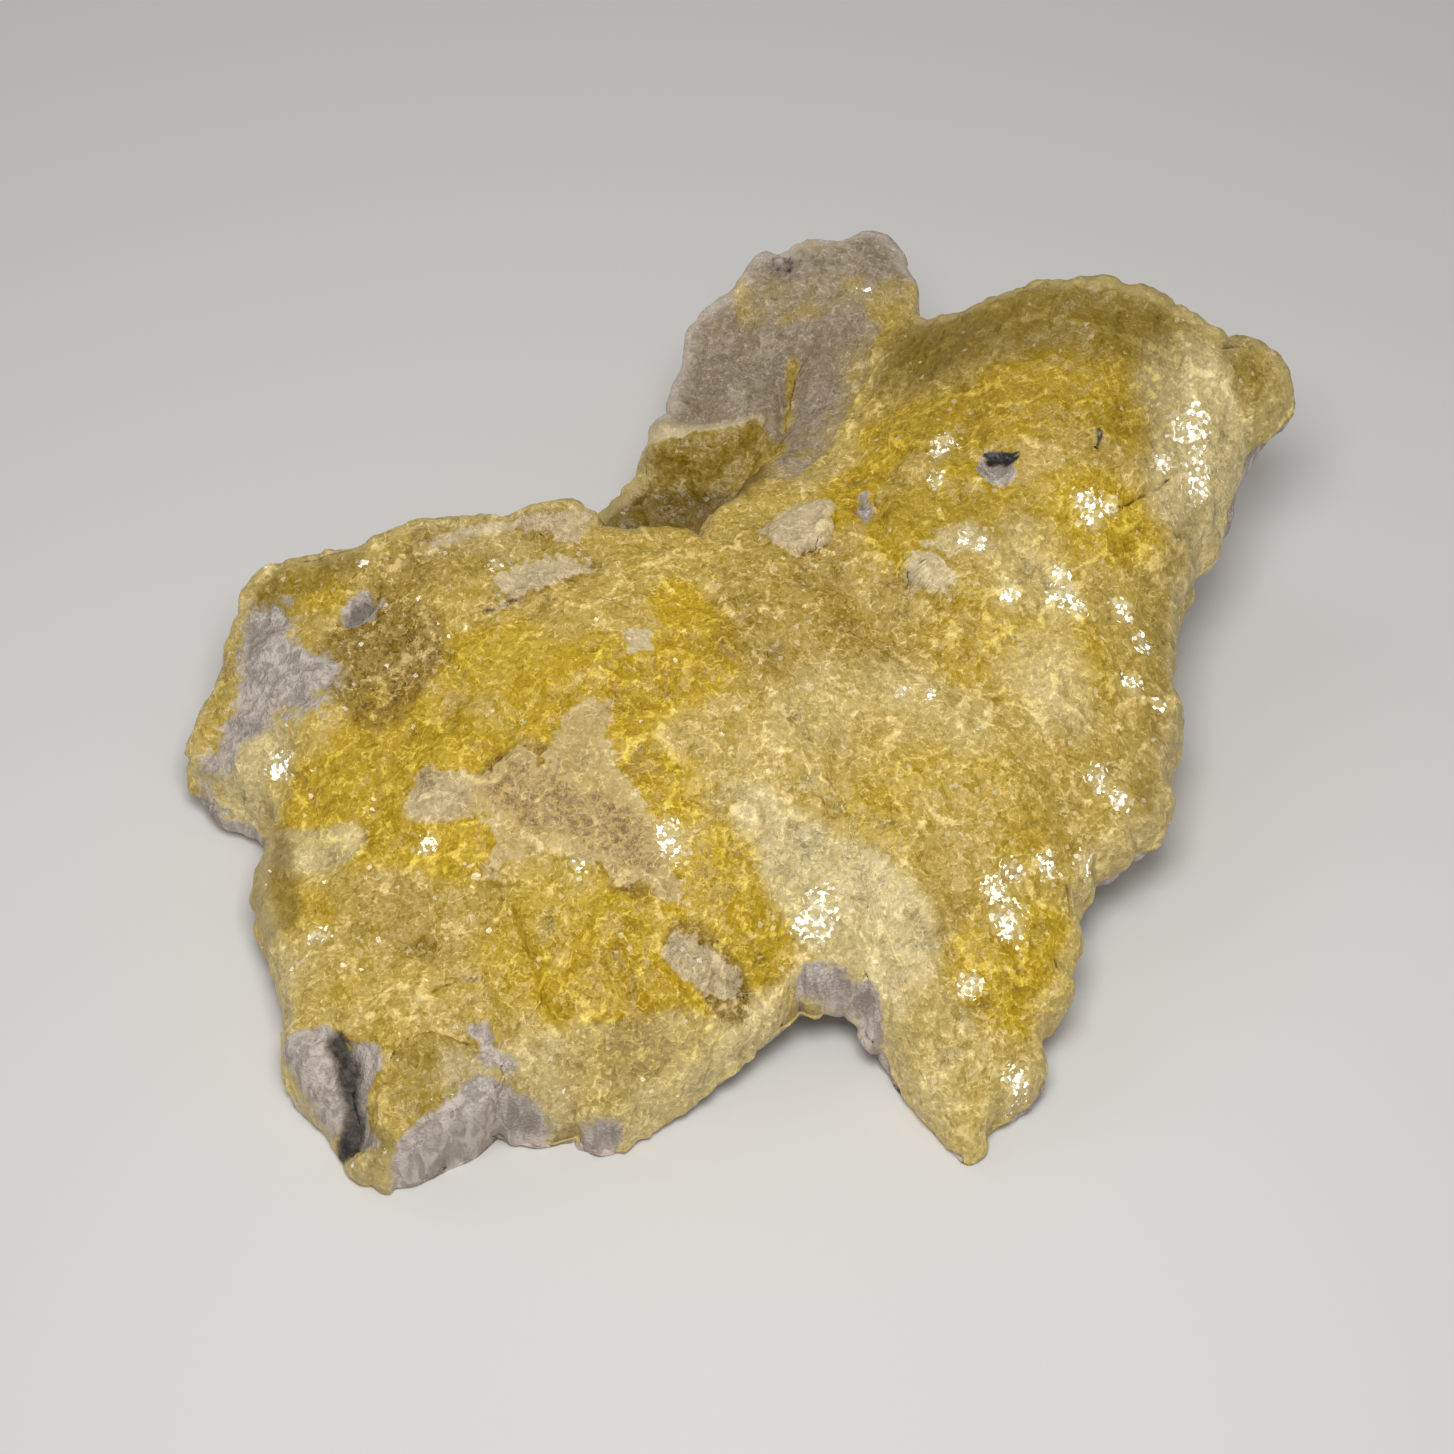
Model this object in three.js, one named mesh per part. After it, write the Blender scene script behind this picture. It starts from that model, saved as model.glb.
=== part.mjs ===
// Brucite specimen: a lumpy crust of yellow brucite with its grey-white broken base, grown as one.
// It is one closed surface: a sheet of height over the plan, a rounded rim, and an underside that touches
// the ground in three places. Units are millimetres, +Z is up, and the specimen stands on z = 0.
import * as THREE from "three";

// How finely the surface is sampled
const TOP_RINGS = 26; // rings of vertices over the top; ring k holds SECTORS * k of them
const SECTORS = 8;
const UNDER_RINGS = TOP_RINGS / 2;
const SHOULDER_ROWS = 3; // rows of the rim from its crest out to its edge
const TUCK_ROWS = 3; // rows of the rim from its edge in to its foot
const SPLINE_STEPS = 10; // points per span of the outline's curve

// The rim
const MIDDLE = [1.9, -3]; // point of the plan that every part of the rim can be seen from
const RIM_WIDTH = 0.9; // how far the crest of the rim lies inside its edge
const TUCK_SLOPE = 0.85; // how far the foot lies inside the edge, for each millimetre below it
const LEAST_TUCK = 0.3;
const MOST_TUCK = 3.2;

// The heights between the spot heights
const CRUST_REACH = 3.4; // distance over which a spot height counts
const STUB_REACH = 2.4;
const SPOT_SOFTNESS = 1; // keeps a spot height from pulling up a sharp point
const LEVELNESS = 0.05; // how much a fitted plane is held level
const LEAST_THICKNESS = 1.6; // of the crust over its hollow side
const CLIFF_FROM = -0.6; // the drop from crust to stub, across its crest
const CLIFF_TO = 2.9;
const STEP_FROM = -0.36; // the rise of a ledge, across its line
const STEP_TO = 0.6;
const DYING_OUT = 2; // distance over which an open ledge dies out towards its points beyond
const DRAW_REACH = 1.6; // points of the surface this near the crest are drawn in to it

// The botryoidal lumps, pushed out along the surface
const LUMPS = [
  { pitch: 3.4, height: 0.6, seed: 1 },
  { pitch: 7, height: 0.6, seed: 21 },
];
const RUBBLE = { pitch: 4.6, height: 1.5, seed: 41 }; // on the broken sides and the underside

// The rim's points, going round from the left tip over the back:
// [x, y, height of the crest, height of the edge, height of the foot]
// broken left end, from the tip round to the back
const LEFT_TIP = [
  [-31.5, -3.7, 4, 2.5, 1.6], [-31.7, -2.6, 4.4, 3, 2], [-31.1, -1, 5.4, 4, 2.6],
  [-30.2, 1, 6.6, 5.4, 3.2], [-29.2, 2.8, 7.8, 6.8, 3.8], [-28.5, 4.4, 9, 8.2, 4.4],
  [-27.4, 5.5, 10, 9.4, 5],
];
// back edge of the left lobe
const LOBE_BACK = [
  [-24.5, 5.6, 10.8, 10.4, 5.6], [-22.7, 5.7, 11.6, 11.2, 6], [-19.8, 5.9, 12.4, 12, 6.4],
  [-17.5, 6.3, 13, 12.6, 6.6], [-14, 6.4, 13.4, 13, 6.6], [-11.2, 6.8, 13.8, 13.4, 6.4],
  [-9.6, 6.9, 14, 13.6, 6], [-8.8, 6.4, 13.4, 13, 5.4],
];
// slab that runs out behind the lobe
const SLAB_RIM = [
  [-8.5, 6.9, 9.6, 9.2, 2.6], [-8.2, 7.7, 5.6, 5.4, 0.6], [-8.3, 10.4, 5.2, 5, 0.4],
  [-8.7, 13.1, 5.6, 5.4, 0.4], [-8, 14.1, 6.1, 5.8, 0], [-6.8, 15, 6.9, 6.6, 0],
  [-5.5, 15.8, 7.9, 7.6, 0],
];
// ledge at the foot of the stub
const STUB_LEDGE = [
  [-6.1, 16.4, 8.4, 7.7, 0.4], [-5.7, 17, 8.8, 8.2, 0.6], [-5.5, 17.7, 9.4, 8.8, 0.6],
  [-4.3, 17.9, 10.2, 9.6, 0.4],
];
// stub
const STUB_RIM = [
  [-4.2, 18.8, 10.6, 10.2, 0.2], [-3.8, 21, 11, 10.6, 0], [-3.3, 23.4, 11.6, 11.2, 0.4],
  [-2.6, 24.7, 12, 11.6, 0], [-0.4, 26, 12.6, 12.2, 0], [0.5, 27.8, 13, 12.6, 0],
  [1.4, 28.6, 13.4, 13, 0], [2.3, 28.4, 13.4, 13, 0], [3.5, 29.1, 13.6, 13.2, 0],
  [5.5, 29.4, 13.8, 13.4, 0], [7.4, 29.8, 13.8, 13.4, 0], [8.7, 29.6, 13.6, 13.2, 0],
  [9.6, 28.6, 13.4, 13, 0], [10, 27.2, 13.2, 12.8, 0.6], [10.5, 26, 13, 12.6, 1.4],
  [10.5, 24.7, 12.8, 12.4, 2.6], [10.4, 23.2, 13, 12.6, 4],
];
// back of the dome
const DOME_BACK = [
  [11.1, 21.6, 14.6, 13.8, 5], [12.9, 20.5, 16.4, 15.8, 6], [15.4, 19.7, 18.2, 17.6, 7.4],
  [17.7, 19.5, 19.4, 18.8, 8.4], [19.6, 19.2, 19.8, 19.4, 9.2], [21.5, 18.9, 19.8, 19.4, 9.8],
  [23.7, 18.4, 19.3, 18.8, 10], [25.3, 18, 18.4, 17.9, 10], [26.8, 17.5, 17.4, 16.9, 10],
  [28, 17.2, 16.6, 16.2, 10], [28.3, 16.8, 16.2, 15.9, 10.2],
];
// knob at the end of the dome
const END_KNOB = [
  [28.9, 17.7, 16, 15.6, 10.4], [30, 17.9, 15.8, 15.3, 10.6], [30.9, 17.3, 15.5, 15, 10.6],
  [31.5, 16.2, 15.1, 14.4, 10.4], [31.7, 15.3, 14.4, 13.6, 10], [31.3, 14.8, 14, 13, 9.6],
  [30.6, 14.3, 13.7, 12.6, 9.2], [29.4, 13.6, 13.4, 12.2, 8.8],
];
// scalloped right edge, down to the shoulder
const RIGHT_RIM = [
  [29, 12.6, 13.2, 11.8, 8.4], [28.6, 11.2, 12.8, 11.2, 8], [27.5, 9.3, 12.2, 10.6, 7.4],
  [27.1, 7.8, 11.6, 10, 6.8], [26.3, 6.8, 11.2, 9.6, 6.4], [26.1, 5.8, 10.9, 9.3, 6.2],
  [25.4, 4.6, 10.5, 8.8, 5.8], [24.7, 3.3, 10.2, 8.5, 5.6], [24.4, 1.6, 9.8, 8.1, 5.2],
  [24.7, 0.3, 9.5, 7.8, 5], [24, -1.7, 9, 7.4, 4.6], [24.4, -2.7, 8.8, 7.2, 4.6],
  [24.4, -4.5, 8.5, 6.9, 4.4], [23.9, -5.7, 8.2, 6.6, 4], [23.9, -6.4, 8.1, 6.5, 4],
  [23.3, -7.5, 7.8, 6.2, 3.6], [23.4, -9.1, 7.5, 6, 3.6], [22.8, -10.3, 7.2, 5.8, 3.4],
  [21.2, -11.1, 7, 5.5, 3], [20.7, -11.8, 6.8, 5.3, 2.8], [19.5, -12.4, 6.6, 5.1, 2.6],
];
// right edge of the spike
const SPIKE_RIGHT = [
  [19.1, -13.4, 6.4, 4.8, 2.4], [18.1, -15.1, 6, 4.4, 2], [18.4, -16.5, 5.7, 4.1, 2],
  [18, -18, 5.4, 3.8, 1.8], [17.2, -19, 5.2, 3.5, 1.4], [17.2, -20, 5, 3.3, 1.4],
  [16.7, -21.1, 4.6, 2.9, 1], [15.9, -22.1, 4.2, 2.4, 0.6], [16, -23.5, 3.6, 1.9, 0.4],
  [15.4, -24.5, 3, 1.4, 0], [13.8, -25.6, 2.4, 0.9, 0], [12.9, -26.9, 1.8, 0.5, 0],
  [11.9, -28, 1.3, 0.3, 0],
];
// left edge of the spike
const SPIKE_LEFT = [
  [11, -27, 1.6, 0.3, 0], [10.1, -25.4, 2.2, 0.5, 0], [9.2, -23.8, 2.9, 0.9, 0.2],
  [8.5, -22.5, 3.6, 1.4, 0.8], [7.9, -21.9, 4.6, 2.2, 1.8],
];
// lifted notch between spike and lobe
const NOTCH = [
  [7.2, -21.7, 5.2, 2.6, 2.2], [6.6, -20.7, 5.6, 2.8, 2.4], [5.8, -20.2, 6, 3, 2.6],
  [4.9, -20.1, 6.2, 3, 2.6], [3.8, -20.4, 6, 3, 2.6],
];
// front edge of the left lobe
const LOBE_FRONT = [
  [2.9, -20.4, 5.6, 3, 2.6], [2.3, -21.1, 5, 3, 2.4], [1.3, -22.1, 4.4, 2.6, 2],
  [0.2, -22.7, 4, 2.2, 1.6], [-1, -23.3, 3.6, 1.9, 1.2], [-2.3, -24.4, 3.3, 1.5, 0.8],
  [-3.4, -25.2, 3, 1.1, 0.4], [-5, -26, 2.8, 0.7, 0],
];
// broken front wall
const FRONT_WALL = [
  [-6.6, -26.9, 2.5, 0.4, 0], [-7.7, -27.4, 2.3, 0.3, 0], [-8.5, -27, 2.4, 0.3, 0],
  [-9, -26.3, 3, 0.3, 0], [-10.6, -26.7, 3.4, 0.3, 0], [-12.2, -27, 3.8, 0.3, 0],
  [-13.4, -26.7, 4.4, 0.3, 0], [-14.1, -27.7, 4.4, 0.3, 0], [-15.6, -28.5, 4.2, 0.3, 0],
  [-17.2, -29.2, 3.6, 0.3, 0],
];
// corner rock
const CORNER = [
  [-18.5, -29.5, 2.2, 0.3, 0], [-19.8, -29.3, 1.6, 0.3, 0], [-20.6, -28.6, 1.6, 0.3, 0],
  [-21.2, -27.7, 2.2, 0.4, 0], [-22.4, -26.4, 3.4, 0.6, 0], [-23.6, -24.7, 4.2, 0.9, 0],
  [-24.2, -23.1, 4.6, 1.2, 0],
];
// left edge
const LEFT_RIM = [
  [-24.3, -21.6, 4.8, 1.5, 0], [-24.8, -19.6, 4.6, 1.8, 0.6], [-25.4, -17.5, 4.8, 2.2, 1],
  [-25.9, -15.5, 5, 2.6, 1.4], [-26.5, -13.6, 5.2, 2.8, 1.6], [-26.4, -12.1, 5.3, 2.8, 1.6],
  [-26, -10.1, 5.3, 2.9, 1.6], [-25.9, -9.3, 5.2, 2.9, 1.6], [-26.5, -7.8, 5, 2.8, 1.6],
  [-27.6, -6.5, 4.8, 2.6, 1.4], [-28.9, -5.7, 4.4, 2.4, 1.4], [-30.3, -4.7, 4.2, 2.4, 1.4],
];

// Spot heights [x, y, z] of the crust
const CRUST_SPOTS = [
  [-27.6, 0.7, 8.4], [-25.5, 3.1, 10], [-25, -3.5, 9], [-28, -5.8, 5.2], [-22.8, 3.8, 11.3],
  [-9.7, 4.9, 13.9], [-10.4, 0.8, 13.4], [-6, 4.2, 13.4], [-2.6, 4.2, 13.4], [-5.1, -0.1, 13.6],
  [-16, -0.5, 12.4], [-22.5, -9.1, 8], [-23.5, -11.7, 6.9], [-16.9, -6.9, 10.6], [-8.1, -4.1, 13.2],
  [-2.6, -3, 13.6], [-15.6, -11.2, 9.8], [-10.1, -11.4, 10.9], [-5.8, -10.2, 12], [-0.4, -9.1, 12.4],
  [-5.2, -15.5, 10.2], [-22.8, -14.6, 6.2], [-14.4, -15.5, 8.4], [-22.4, -20.7, 5.4], [-10, -18.5, 8.8],
  [-6.8, -19.4, 9.2], [-8.3, -23, 6.9], [-4.6, -22.9, 6.8], [-6.8, -25, 5.2], [-2.5, -24.6, 4.6],
  [-10.9, -25.8, 5.5], [-16.3, -24.1, 5.8], [-22.1, -24.2, 5], [-16.1, -28.4, 4.8], [-18.3, -28.2, 3.9],
  [-13, -27.7, 4.6], [-5.7, -26.3, 3.9], [-7.8, -27, 3.5], [-0.4, -22.5, 4.8], [-1.5, -20.1, 7.4],
  [2.8, -14.9, 10.2], [5.5, -17.3, 9], [5.5, -19.6, 7.2], [0.7, -16.6, 9.8], [8.2, -15.8, 9.6],
  [2.8, 5.5, 13.3], [6.4, 3.3, 13.2], [4.9, 13.4, 11.6], [7.1, 9.6, 13], [6.2, 17.7, 11.4],
  [9, 13.7, 13.8], [9.8, 20, 13.2], [8.6, 4.6, 14.2], [10.5, 10.5, 15.4], [11.9, 15.7, 15.8],
  [14.7, 16.6, 17.4], [18.1, 17.3, 18.9], [20.9, 16.4, 19.2], [23.8, 16, 18.4], [26.8, 14.9, 16.6],
  [29.5, 14.7, 15.2], [14.4, 10.3, 16.4], [17.8, 9.5, 16.4], [21.3, 10.3, 16.4], [27, 10.5, 13.8],
  [12, 4.3, 14.6], [17, 3.7, 14.4], [21, 3.7, 13.6], [24.4, 5.5, 12.4], [11.8, -1.9, 12.3],
  [18.5, -2.4, 12], [22, -1.3, 10.8], [13.8, -7.5, 11.3], [17.7, -7.6, 10.6], [21.1, -8, 9.3],
  [15.9, -12.4, 9.6], [19.9, -11.5, 8], [13.5, -16.4, 8.7], [16.3, -17.4, 7.3], [9.7, -18.3, 8.6],
  [9.7, -21.4, 7], [13.4, -20.8, 6.6], [8.1, -22, 6.4], [10.7, -24, 5.2], [13.7, -24, 4.2],
  [11.3, -26.1, 3.1], [11.9, -27.6, 2],
];
// Spot heights of the stub and its slab, which lie lower, behind the crust
const STUB_SPOTS = [
  [-6.3, 14.8, 5.8], [-3.9, 13.9, 5.4], [-2.7, 15.7, 6.6], [0.9, 15.7, 7.4], [-2.7, 15.8, 9.9],
  [0.9, 16.8, 9.9], [-5.1, 15.7, 9.3], [-2.7, 19.7, 10.2], [-0.3, 22.5, 10.8], [1.5, 19, 10],
  [2.7, 22.1, 11.2], [3.3, 18.8, 10.2], [-1.8, 24, 11.8], [0.9, 25.2, 12.4], [3.3, 26.5, 13.2],
  [5.5, 27.2, 13.6], [7.6, 26.7, 13.8], [9.1, 25.4, 13.4], [5.7, 23.8, 12.9], [8.7, 23, 12.8],
  [5.7, 21.1, 12.2], [4.4, 16, 10.6], [6.9, 21.7, 12.4],
  // floor of the slab at the foot of the crest
  [-8, 8.6, 5], [-5.2, 8.4, 4.6], [-2.6, 9.6, 4.8], [-7, 11.4, 5], [-3.6, 11.6, 4.8],
  [-0.8, 12.2, 5.6], [0.8, 13.8, 6.6],
];
// The crest where the crust breaks off above the slab and the stub
const CREST = [
  [-9.2, 5.1, 12.8], [-6.9, 5.4, 13], [-5.4, 5.7, 13.1], [-4.1, 6.1, 13.2], [-3.1, 5.9, 13.1],
  [-2.3, 5.4, 12.9], [-1.7, 6.7, 12.8], [-1.4, 8, 12.7], [-0.5, 8.9, 12.6], [-0.1, 10, 12.4],
  [1, 11, 12.1], [2.1, 12.9, 11.6], [3.6, 14.8, 10.9], [4.5, 16.8, 11], [5.9, 18.7, 11.6],
  [7.5, 21, 12.3], [9.6, 22.5, 12.9], [11.3, 21.5, 14.4],
];
// Points behind the stub that close its side of the crest into a loop
const BEHIND_THE_STUB = [
  [13.4, 23],
  [14.9, 37],
  [-17.1, 37],
  [-17.1, 11],
  [-10.6, 9.5],
];
// Spot heights of the underside; below zero the base is broken flat on the ground
const UNDER_SPOTS = [
  // broken front, on the ground
  [-18.1, -26, -0.8], [-22.1, -23.5, -0.6], [-12.1, -25.3, -0.6], [-9.1, -24.5, 0.2], [-21.1, -18, 0.6],
  [-25.1, -15, 1.4], [-15.1, -19, 0.6], [-7.1, -22, 0.8],
  // left lobe
  [-23.1, -9, 2.4], [-28.1, -5, 2.8], [-25.1, 1, 4.2], [-17.1, 1, 4.8], [-11.1, 3, 4.6],
  [-13.1, -9, 3], [-7.1, -13, 3.4],
  // hollow behind the notch
  [-1.1, -17, 3.2], [2.9, -15, 4.4], [-1.1, -7, 4.6], [2.9, -1, 5], [-4.1, 2, 4.4],
  // spike
  [11.9, -25.3, -0.6], [11.9, -22, 0.4], [10.9, -18, 2.2], [15.9, -15, 2.2], [16.9, -10, 3],
  [20.9, -9, 2.6],
  // right flank and dome
  [10.9, -9, 4.6], [18.9, -3, 4], [22.9, 1, 4.8], [12.9, 1, 5.4], [18.9, 7, 7],
  [24.9, 9, 7.6], [10.9, 9, 5.6], [14.9, 14, 7.4], [20.9, 15, 9.4], [26.9, 14, 9.8],
  // stub, on the ground
  [2.9, 23, -0.8], [4.9, 26.5, -0.6], [-1.1, 19, -0.4], [6.9, 21, 0.4], [-4.1, 15, -0.2],
  [0.9, 13.5, 0.6], [7.9, 16, 2.6], [4.9, 9, 3.6], [-1.1, 8, 3],
];

// Ledges: the ground inside the line is raised, and falls back over the reach. An open line is closed on its
// raised side by way of its points beyond, and the ledge dies out towards them.
const LEDGES = [
  {
    // step in front of the middle of the left lobe
    height: 0.8,
    reach: 4.0,
    closed: false,
    line: [
      [-13.5, -12.9], [-13, -15.2], [-12.2, -16.8], [-11.5, -19.1], [-10.7, -21],
      [-10.4, -22.5], [-9.6, -23.6], [-7.8, -24.3], [-5.4, -24.2], [-3.1, -23.8],
      [-1.8, -22.4],
    ],
    beyond: [[-3, -17], [-9, -12]],
  },
  {
    // thin buff crust on the left lobe
    height: 0.35,
    reach: 99,
    closed: true,
    line: [
      [-18, -10], [-17.6, -8.7], [-16.7, -8.8], [-16.1, -9.5], [-13.6, -9.6],
      [-12.4, -8.5], [-10.3, -8.5], [-9.6, -7], [-8.8, -6.5], [-7.9, -6.9],
      [-7.1, -8.6], [-6.2, -9.5], [-5.2, -11.9], [-4.8, -13.2], [-5, -14.3],
      [-3.1, -16.2], [-3.6, -17], [-4.9, -17.3], [-6.9, -15.6], [-9.3, -14.8],
      [-11.1, -14.9], [-13, -15.2], [-13.4, -12.2], [-17.3, -11.4],
    ],
  },
  {
    // thick plate on the near side of the dome
    height: 0.8,
    reach: 3.0,
    closed: false,
    line: [
      [9.7, 10.3], [8, 7.5], [8.3, 4.9], [8.7, 2.9], [9.8, 1.1],
      [11.1, 0], [14.1, 0.2], [14.7, -2.1],
    ],
    beyond: [[17.5, 3], [15, 10]],
  },
  {
    // pale chip beside the strip
    height: 0.5,
    reach: 99,
    closed: true,
    line: [
      [0.9, 4.6], [1.2, 5.8], [2.5, 6.9], [3.8, 7.7], [5, 7.7],
      [5, 6.2], [4.5, 4.1], [3, 3.6], [2.1, 4.3],
    ],
  },
  {
    // rounded plate near the right edge
    height: 0.5,
    reach: 2.5,
    closed: false,
    line: [
      [21.4, 6.4], [21.7, 5.1], [22.6, 4.3], [23.9, 4.3], [25.7, 5.4],
    ],
    beyond: [[26, 8.5], [22.5, 9]],
  },
  {
    // pale plate over the broken front wall
    height: 0.5,
    reach: 99,
    closed: true,
    line: [
      [-18.4, -24.7], [-18.8, -26.2], [-19.5, -27.7], [-19, -28.6], [-18.1, -29],
      [-17.3, -29.1], [-15.9, -28.2], [-13.5, -27.3], [-12.7, -25.9], [-13.5, -24.8],
      [-16.3, -23.9], [-17.7, -24.1],
    ],
  },
  {
    // ledge across the foot of the stub
    height: 1.3,
    reach: 3.0,
    closed: false,
    line: [
      [-6, 15.4], [-3.9, 15.4], [-2.4, 15.6], [0, 16.1], [1.5, 16.9],
      [2.7, 17.2],
    ],
    beyond: [[6, 20], [3, 25], [-6, 25], [-10, 19]],
  },
];

// Cracks, grooves and furrows, cut along a line
const GROOVES = [
  // crack on the dome
  { depth: 0.5, width: 0.25, line: [[21.5, 6.7], [22.7, 7.5], [23.6, 8.3], [24.6, 9.3]] },
  // crack on the left lobe
  { depth: 0.35, width: 0.25, line: [[-14.9, -0.4], [-13.5, 0.1], [-12, 0.4]] },
  // crack on the low flat
  { depth: 0.35, width: 0.25, line: [[-16.4, -21.5], [-15.7, -21], [-14, -20.8]] },
  // groove near the broken end
  { depth: 0.8, width: 0.4, line: [[-22.4, 0.9], [-21.6, 1.5], [-21, 1.9], [-20.5, 2.3]] },
  // groove beside the stub
  { depth: 0.9, width: 0.6, line: [[4.2, 21.9], [3.3, 20.4], [2.8, 18.7], [2.5, 17]] },
  // crevice in the corner rock
  { depth: 1.8, width: 0.8, line: [[-21, -24.2], [-20.5, -26], [-20.1, -27.4], [-20.6, -28.3]] },
  // furrow down the middle
  { depth: 0.35, width: 0.4, line: [[5.2, -9], [4.8, -11.4], [4.9, -13.7], [4.5, -15.5]] },
];

// Pits
const PITS = [
  // open pit on the dome
  { x: 14.5, y: 8, radius: 1.1, depth: 0.9 },
  // small pit beside it
  { x: 20.1, y: 9.5, radius: 0.35, depth: 0.5 },
  // pit in the furrow below the dome
  { x: 6.9, y: 7.1, radius: 0.5, depth: 0.4 },
  // hollow on top of the stub
  { x: 2.7, y: 27.1, radius: 0.8, depth: 0.5 },
];

const STUB_SIDE_RIM = [...SLAB_RIM, ...STUB_LEDGE, ...STUB_RIM];
const CRUST_RIM = [
  ...[LEFT_TIP, LOBE_BACK, DOME_BACK, END_KNOB, RIGHT_RIM, SPIKE_RIGHT, SPIKE_LEFT, NOTCH].flat(),
  ...[LOBE_FRONT, FRONT_WALL, CORNER, LEFT_RIM].flat(),
];
const OUTLINE = [
  ...[LEFT_TIP, LOBE_BACK, STUB_SIDE_RIM, DOME_BACK, END_KNOB, RIGHT_RIM, SPIKE_RIGHT].flat(),
  ...[SPIKE_LEFT, NOTCH, LOBE_FRONT, FRONT_WALL, CORNER, LEFT_RIM].flat(),
];
const STUB_LOOP = [...CREST.map(([x, y]) => [x, y]), ...BEHIND_THE_STUB];

// 0 below a, 1 above b, and a smooth S between them
function smoothStep(a, b, t) {
  const s = Math.min(Math.max((t - a) / (b - a), 0), 1);
  return s * s * (3 - 2 * s);
}

// Distance in plan from (x, y) to a line of points, closed into a loop or not
function lineDistance(x, y, line, closed) {
  const spans = closed ? line.length : line.length - 1;
  let nearest = Infinity;
  for (let i = 0; i < spans; i++) {
    const [ax, ay] = line[i];
    const [bx, by] = line[(i + 1) % line.length];
    const ex = bx - ax;
    const ey = by - ay;
    const along = ((x - ax) * ex + (y - ay) * ey) / (ex * ex + ey * ey);
    const t = Math.min(Math.max(along, 0), 1);
    nearest = Math.min(nearest, Math.hypot(x - ax - t * ex, y - ay - t * ey));
  }
  return nearest;
}

// Whether (x, y) lies inside a loop of points, by counting the edges crossed on the way out
function isInside(x, y, loop) {
  let odd = false;
  loop.forEach(([ax, ay], i) => {
    const [bx, by] = loop[(i + 1) % loop.length];
    if (ay > y !== by > y && x < ((bx - ax) * (y - ay)) / (by - ay) + ax) odd = !odd;
  });
  return odd;
}

// Distance to a line, positive inside its loop and negative outside
function signedDistance(x, y, line, closed) {
  const d = lineDistance(x, y, line, closed);
  return isInside(x, y, line) ? d : -d;
}

// Height at (x, y) of the plane that best fits the spot heights near it, nearer ones counting more
function groundHeight(x, y, spots, reach) {
  let [s, sx, sy, sxx, sxy, syy, sz, sxz, syz] = new Array(9).fill(0);
  for (const [px, py, pz] of spots) {
    const dx = px - x;
    const dy = py - y;
    const d2 = dx * dx + dy * dy;
    const near = Math.exp(-d2 / (2 * reach * reach)) / (d2 + SPOT_SOFTNESS * SPOT_SOFTNESS);
    const w = near + 1e-7 / (1 + d2 * d2);
    s += w;
    sx += w * dx;
    sy += w * dy;
    sxx += w * dx * dx;
    sxy += w * dx * dy;
    syy += w * dy * dy;
    sz += w * pz;
    sxz += w * dx * pz;
    syz += w * dy * pz;
  }
  sxx += LEVELNESS * s;
  syy += LEVELNESS * s;
  const det3 = (a, b, c, d, e, f, g, h, i) =>
    a * (e * i - f * h) - b * (d * i - f * g) + c * (d * h - e * g);
  const whole = det3(s, sx, sy, sx, sxx, sxy, sy, sxy, syy);
  return det3(sz, sx, sy, sxz, sxx, sxy, syz, sxy, syy) / whole;
}

// How much a ledge raises the ground at (x, y)
function ledgeRise(x, y, { height, reach, closed, line, beyond = [] }) {
  const away = lineDistance(x, y, line, closed);
  const d = isInside(x, y, [...line, ...beyond]) ? away : -away;
  const rise = height * smoothStep(STEP_FROM, STEP_TO, d);
  if (closed) return rise;
  const farSide = lineDistance(x, y, [line[line.length - 1], ...beyond, line[0]], false);
  return rise * Math.exp(-((Math.max(d, 0) / reach) ** 2)) * smoothStep(0, DYING_OUT, farSide);
}

// Height of the top: crust in front of the crest, stub behind it, then ledges, grooves and pits
const CRUST_HEIGHTS = [...CRUST_SPOTS, ...CRUST_RIM, ...CREST];
const STUB_HEIGHTS = [...STUB_SPOTS, ...STUB_SIDE_RIM];
function topHeight(x, y) {
  const crust = groundHeight(x, y, CRUST_HEIGHTS, CRUST_REACH);
  const stub = groundHeight(x, y, STUB_HEIGHTS, STUB_REACH);
  const behind = smoothStep(CLIFF_FROM, CLIFF_TO, signedDistance(x, y, STUB_LOOP, true));
  let z = crust + (stub - crust) * behind;
  for (const ledge of LEDGES) z += ledgeRise(x, y, ledge);
  for (const { depth, width, line } of GROOVES) {
    z -= depth * Math.exp(-((lineDistance(x, y, line, false) / width) ** 2));
  }
  for (const pit of PITS) {
    const d2 = ((x - pit.x) ** 2 + (y - pit.y) ** 2) / pit.radius ** 2;
    z -= pit.depth * Math.exp(-d2 * d2);
  }
  return z;
}

// A point of the rim and how far in from it the crest and the foot lie, as shares of the way to MIDDLE
function rimStation(x, y, crest, edge, foot) {
  const away = Math.hypot(x - MIDDLE[0], y - MIDDLE[1]);
  const tuck = Math.min(Math.max(TUCK_SLOPE * (edge - foot), LEAST_TUCK), MOST_TUCK);
  return { x, y, crest, edge, foot, crestAt: 1 - RIM_WIDTH / away, footAt: 1 - tuck / away };
}

// The point a share r of the way from MIDDLE to the rim
function between(station, r) {
  return [MIDDLE[0] + r * (station.x - MIDDLE[0]), MIDDLE[1] + r * (station.y - MIDDLE[1])];
}

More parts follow.
